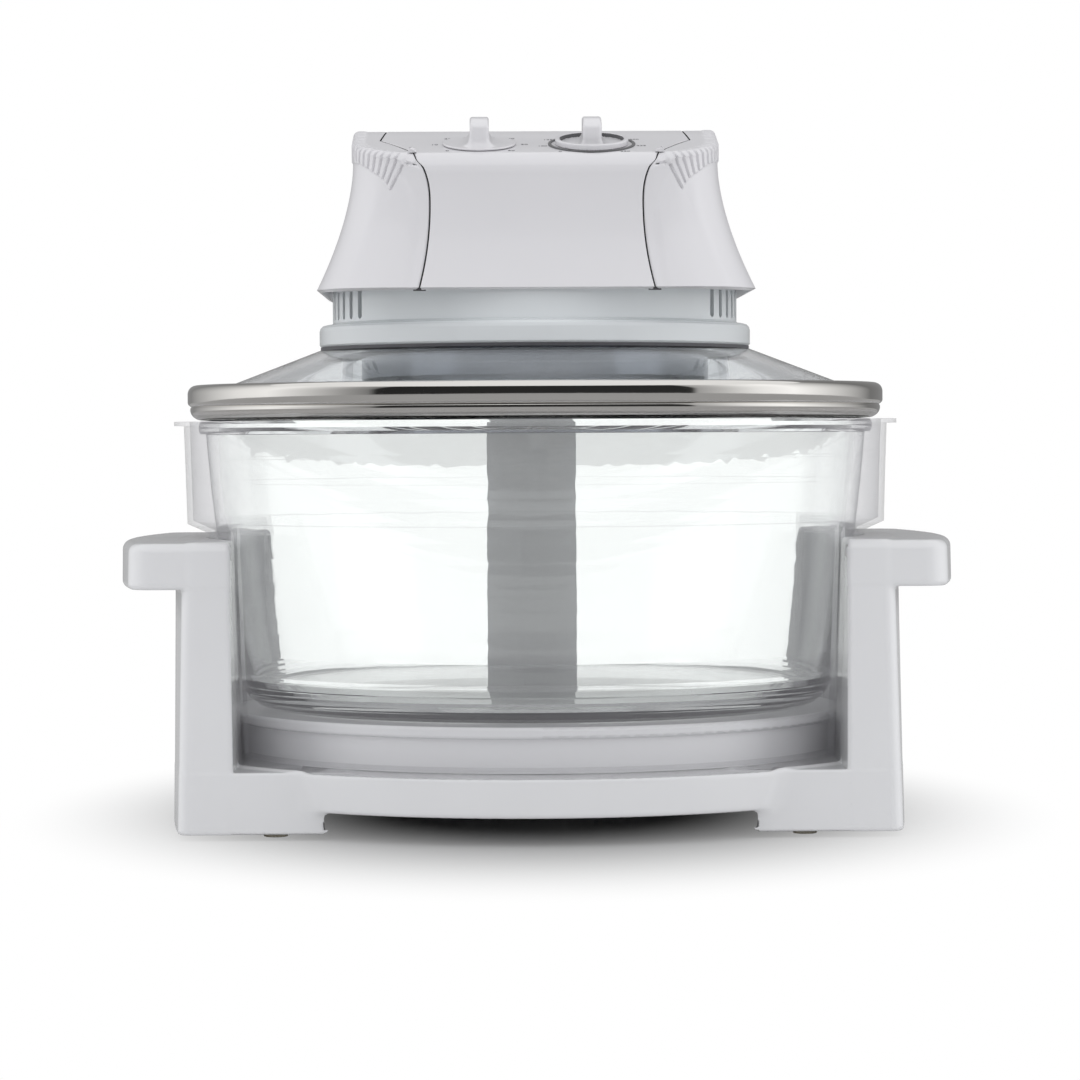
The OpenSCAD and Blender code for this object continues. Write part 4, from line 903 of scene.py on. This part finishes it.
def centre_cover():
    """The belt between the seams, as a grid with the handle's tray let into it.

    Rows run up the front wall, over the panel and crown and down the rear wall. Each has its y,
    its z and the inset of its rounded ends, which the rows of the roof don't have."""
    front = [(-cover_half(z), z, 0) for z in np.linspace(COVER_Z, BREAK_Z - FRONT_BEND, 44)]
    front += [fold_row(-1, a) for a in np.linspace(0, 90, 12)[1:]]
    back = [fold_row(1, a) for a in np.linspace(90, 0, 12)]
    rear_z = float(top_z(PANEL_FRONT))
    back += [(cover_half(z), z, 0) for z in np.linspace(rear_z - FRONT_BEND, COVER_Z, 44)[1:]]
    ys = set(np.linspace(front[-1][0] + 1.5, -44, 22).round(3))
    ys |= set(np.linspace(-43, 64, 50).round(3))
    ys |= {*TRAY_Y, -35.0, -26.0, -18.0, 64.8} | {y for y in (70.0, 74.0) if y < back[0][0]}
    rows = front + [(y, float(top_z(y)), None) for y in sorted(ys)] + back
    inner = np.linspace(-1, 1, 25)
    outer = np.array([0.2, 0.4, 0.6, 0.75, 0.86, 0.93, 0.97, 1.0])
    grid = []
    for y, z, inset in rows:
        half = float(seam_x(y, z)) - SEAM_GAP / 2
        flat = TRAY_X if -30 < y < 74 and z > ROOF_Z else 0.86 * half
        right = flat + (half - flat) * outer
        xs = np.concatenate([-right[::-1], inner * flat, right])
        line = np.stack([xs, np.full(len(xs), y), np.full(len(xs), z)], axis=1)
        if inset is not None:
            start = float(cover_half(z)) - COVER_CORNER
            radius = COVER_CORNER - inset
            over = np.clip(np.abs(xs) - start, 0, radius)
            line[:, 1] -= np.sign(y) * (radius - np.sqrt(radius ** 2 - over ** 2))
        grid.append(line)
    grid = np.array(grid)
    path = np.array([(y, z) for y, z, _ in rows])
    tangent = np.gradient(path, axis=0)
    tangent /= np.linalg.norm(tangent, axis=1)[:, None]
    inward = np.stack([tangent[:, 1], -tangent[:, 0]], axis=1)
    for side, col in ((-1, 0), (1, -1)):
        edge = grid[:, col].copy()
        edge[:, 1:] += inward * LIP_DEPTH
        seam_lip(side, edge)
        grid[:, col, 1:] += inward * EDGE_ROLL
    grid[:, 1, 0] = grid[:, 0, 0] + EDGE_ROLL
    grid[:, -2, 0] = grid[:, -1, 0] - EDGE_ROLL
    cols = grid.shape[1]
    first = len(outer)
    last = first + len(inner) - 1
    low_y, high_y = TRAY_Y
    in_tray = [i for i, (y, z, _) in enumerate(rows)
               if low_y - 0.01 <= y <= high_y + 0.01 and z > ROOF_Z]
    r0, r1 = in_tray[0], in_tray[-1]
    faces = [f for f in sheet_faces(len(rows), cols)
             if not (r0 <= f[0] // cols < r1 and first <= f[0] % cols < last)]
    # The tray's walls hang from the loop of points round its opening
    points = [tuple(p) for p in grid.reshape(-1, 3)]
    loop = [(r0, j) for j in range(first, last)] + [(i, last) for i in range(r0, r1)]
    loop += [(r1, j) for j in range(last, first, -1)] + [(i, first) for i in range(r1, r0, -1)]
    ring_top = [i * cols + j for i, j in loop]
    n = len(ring_top)
    ring_low = list(range(len(points), len(points) + n))
    points += [(points[v][0], points[v][1], CROWN_Z - TRAY_DEPTH) for v in ring_top]
    for i in range(n):
        j = (i + 1) % n
        faces.append((ring_top[i], ring_low[i], ring_low[j], ring_top[j]))
    faces.append(tuple(ring_low))
    return np.array(points), faces


verts, faces = centre_cover()
thick(piece("centre_cover_moulding", verts, faces, "centre_cover"), COVER_WALL)

# ---------------------------------------------------------------- scene

# The camera comes from a fit to the photo's ellipses
FOCAL_PX = 3770.0
IMAGE_PX = 1080.0
SENSOR = 36.0
CAMERA_X = 2.0
CAMERA_FAR = 1810.0
CAMERA_Z = 181.0
ORBIT = math.radians(0.8)
PITCH = math.radians(1.64)
ROLL = math.radians(0.29)
camera_data = bpy.data.cameras.new("camera")
camera_data.sensor_width = SENSOR
camera_data.lens = FOCAL_PX * SENSOR / IMAGE_PX
camera_data.clip_end = 50
camera = bpy.data.objects.new("camera", camera_data)
bpy.context.scene.collection.objects.link(camera)
camera.location = ((CAMERA_X - CAMERA_FAR * math.sin(ORBIT)) * MM,
                   (-CAMERA_FAR * math.cos(ORBIT) + AXIS_Y) * MM, CAMERA_Z * MM)
aim = Vector((math.sin(ORBIT) * math.cos(PITCH), math.cos(ORBIT) * math.cos(PITCH),
              -math.sin(PITCH)))
camera.rotation_mode = "QUATERNION"
turn = aim.to_track_quat("-Z", "Y")
camera.rotation_quaternion = turn @ Matrix.Rotation(-ROLL, 4, "Z").to_quaternion()
bpy.context.scene.camera = camera

# Camera, mirrors and glass see the floor as a painted shadow under the object, a dim pool that
# fades to glowing white between two distances, in metres
POOL_NEAR = 0.10
POOL_FAR = 0.38
POOL_SCALE = (1.5, 1.0, 0.0)
# How dark the painted shadow under the object is, as a share of the floor's colour
PAINTED_SHADOW_TONE = 0.35
MIRROR_GLOW = 0.4
WORLD_GLOW = 0.76


def floor_with_painted_shadow(name, color):
    """A floor that diffuse rays see as matte, and all others as a painted shadow pool that fades to
    white.
    """
    mat = bpy.data.materials.new(name)
    mat.use_nodes = True
    tree = mat.node_tree
    shader = tree.nodes["Principled BSDF"]
    shader.inputs["Roughness"].default_value = 1.0
    shader.inputs["Specular IOR Level"].default_value = 0.0
    shader.inputs["Emission Color"].default_value = (1, 1, 1, 1)
    rays = tree.nodes.new("ShaderNodeLightPath").outputs
    direct = math_node(tree, "MAXIMUM", rays["Is Camera Ray"], rays["Is Transmission Ray"])
    seen = math_node(tree, "MAXIMUM", direct, rays["Is Glossy Ray"])
    place = tree.nodes.new("ShaderNodeTexCoord")
    reach = tree.nodes.new("ShaderNodeMapping")
    reach.inputs["Scale"].default_value = POOL_SCALE
    link(tree, place.outputs["Object"], reach.inputs["Vector"])
    length = tree.nodes.new("ShaderNodeVectorMath")
    length.operation = "LENGTH"
    link(tree, reach.outputs["Vector"], length.inputs[0])
    ramp = tree.nodes.new("ShaderNodeMapRange")
    ramp.interpolation_type = "SMOOTHSTEP"
    ramp.inputs["From Min"].default_value = POOL_NEAR
    ramp.inputs["From Max"].default_value = POOL_FAR
    link(tree, length.outputs["Value"], ramp.inputs["Value"])
    level = math_node(tree, "MULTIPLY_ADD", rays["Is Glossy Ray"], MIRROR_GLOW, direct)
    glow = math_node(tree, "MULTIPLY", ramp.outputs["Result"], level)
    link(tree, glow, shader.inputs["Emission Strength"])
    # Painted shadow: camera, mirrors and glass see the base colour darkened under the object
    shade = tree.nodes.new("ShaderNodeMapRange")
    shade.inputs["To Min"].default_value = PAINTED_SHADOW_TONE
    shade.inputs["To Max"].default_value = 0.0
    link(tree, ramp.outputs["Result"], shade.inputs["Value"])
    apart = tree.nodes.new("ShaderNodeMix")
    apart.data_type = "FLOAT"
    apart.inputs[2].default_value = 1.0
    link(tree, seen, apart.inputs[0])
    link(tree, shade.outputs["Result"], apart.inputs[3])
    tint = tree.nodes.new("ShaderNodeMix")
    tint.data_type = "RGBA"
    tint.inputs["A"].default_value = (0, 0, 0, 1)
    tint.inputs["B"].default_value = (*color, 1)
    link(tree, apart.outputs[0], tint.inputs["Factor"])
    link(tree, tint.outputs["Result"], shader.inputs["Base Color"])
    return mat


floor_mesh = bpy.data.meshes.new("floor")
floor_corners = [(-12, -6, 0), (12, -6, 0), (12, 18, 0), (-12, 18, 0)]
floor_mesh.from_pydata(floor_corners, [], [(0, 1, 2, 3)])
floor = bpy.data.objects.new("floor", floor_mesh)
bpy.context.scene.collection.objects.link(floor)
floor.location.z = -0.0002
floor_mesh.materials.append(floor_with_painted_shadow("floor_painted_shadow", (0.86, 0.86, 0.86)))

# The world: plain white to camera, mirrors and glass, and a softer light on everything
world = bpy.data.worlds.new("studio")
bpy.context.scene.world = world
world.use_nodes = True
tree = world.node_tree
tree.nodes.clear()
rays = tree.nodes.new("ShaderNodeLightPath").outputs
bounced = math_node(tree, "MAXIMUM", rays["Is Glossy Ray"], rays["Is Transmission Ray"])
seen = math_node(tree, "MAXIMUM", rays["Is Camera Ray"], bounced)
white = tree.nodes.new("ShaderNodeBackground")
white.inputs["Color"].default_value = (1, 1, 1, 1)
soft = tree.nodes.new("ShaderNodeBackground")
soft.inputs["Color"].default_value = (0.97, 0.98, 1.0, 1)
soft.inputs["Strength"].default_value = WORLD_GLOW
mix = tree.nodes.new("ShaderNodeMixShader")
link(tree, seen, mix.inputs[0])
link(tree, soft.outputs[0], mix.inputs[1])
link(tree, white.outputs[0], mix.inputs[2])
out = tree.nodes.new("ShaderNodeOutputWorld")
link(tree, mix.outputs[0], out.inputs["Surface"])


def softbox(name, place, target, size_x, size_y, power):
    """A rectangular lamp that mirrors don't show."""
    data = bpy.data.lights.new(name, "AREA")
    data.shape = "RECTANGLE"
    data.size = size_x
    data.size_y = size_y
    data.energy = power
    lamp = bpy.data.objects.new(name, data)
    bpy.context.scene.collection.objects.link(lamp)
    lamp.location = place
    lamp.rotation_mode = "QUATERNION"
    lamp.visible_glossy = False
    lamp.rotation_quaternion = (Vector(target) - Vector(place)).to_track_quat("-Z", "Y")


softbox("left_box", (-1.9, -0.7, 0.75), (0, 0, 0.15), 1.4, 1.5, 6)
softbox("right_box", (1.9, -0.7, 0.75), (0, 0, 0.15), 1.4, 1.5, 7.5)
softbox("top_box", (0, 0.1, 1.9), (0, 0, 0.1), 1.8, 1.5, 3.5)


# Azimuth in degrees from the camera's side, and brightness there, blended between
STUDIO_TONES = ((-180, 0.3), (-155, 0.26), (-136, 0.55), (-112, 1.0), (-95, 1.15), (-75, 0.7),
                (-62, 0.4), (-54, 0.26), (-51, 0.025), (49, 0.03), (51, 0.45), (60, 0.65),
                (73, 1.05), (89, 1.3), (109, 0.85), (127, 0.48), (140, 0.2), (180, 0.3))


def studio_wall(name, tones, radius, z0, z1):
    """The studio around the object as mirrors see it. Nothing else sees this wall."""
    mat = bpy.data.materials.new(name)
    mat.use_nodes = True
    mat.cycles.emission_sampling = "NONE"
    shader = mat.node_tree.nodes["Principled BSDF"]
    shader.inputs["Base Color"].default_value = (0, 0, 0, 1)
    shader.inputs["Specular IOR Level"].default_value = 0.0
    shader.inputs["Emission Strength"].default_value = 1.0
    tone = mat.node_tree.nodes.new("ShaderNodeAttribute")
    tone.attribute_name = "tone"
    link(mat.node_tree, tone.outputs["Color"], shader.inputs["Emission Color"])
    mesh = bpy.data.meshes.new(name)
    degrees = np.linspace(-180, 180, 361)
    turn = np.radians(degrees)
    points = [(radius * math.sin(a), -radius * math.cos(a), z) for z in (z0, z1) for a in turn]
    mesh.from_pydata(points, [], sheet_faces(2, len(turn)))
    level = np.interp(degrees, *np.array(tones).T)
    colors = mesh.color_attributes.new("tone", "FLOAT_COLOR", "POINT")
    for i, value in enumerate(np.tile(level, 2)):
        colors.data[i].color = (value, value, value, 1)
    mesh.materials.append(mat)
    obj = bpy.data.objects.new(name, mesh)
    bpy.context.scene.collection.objects.link(obj)
    obj.visible_camera = False
    obj.visible_diffuse = False
    obj.visible_transmission = False
    obj.visible_shadow = False


studio_wall("studio_wall", STUDIO_TONES, 2.4, 0.0, 2.2)

bpy.context.scene.view_settings.view_transform = "Standard"
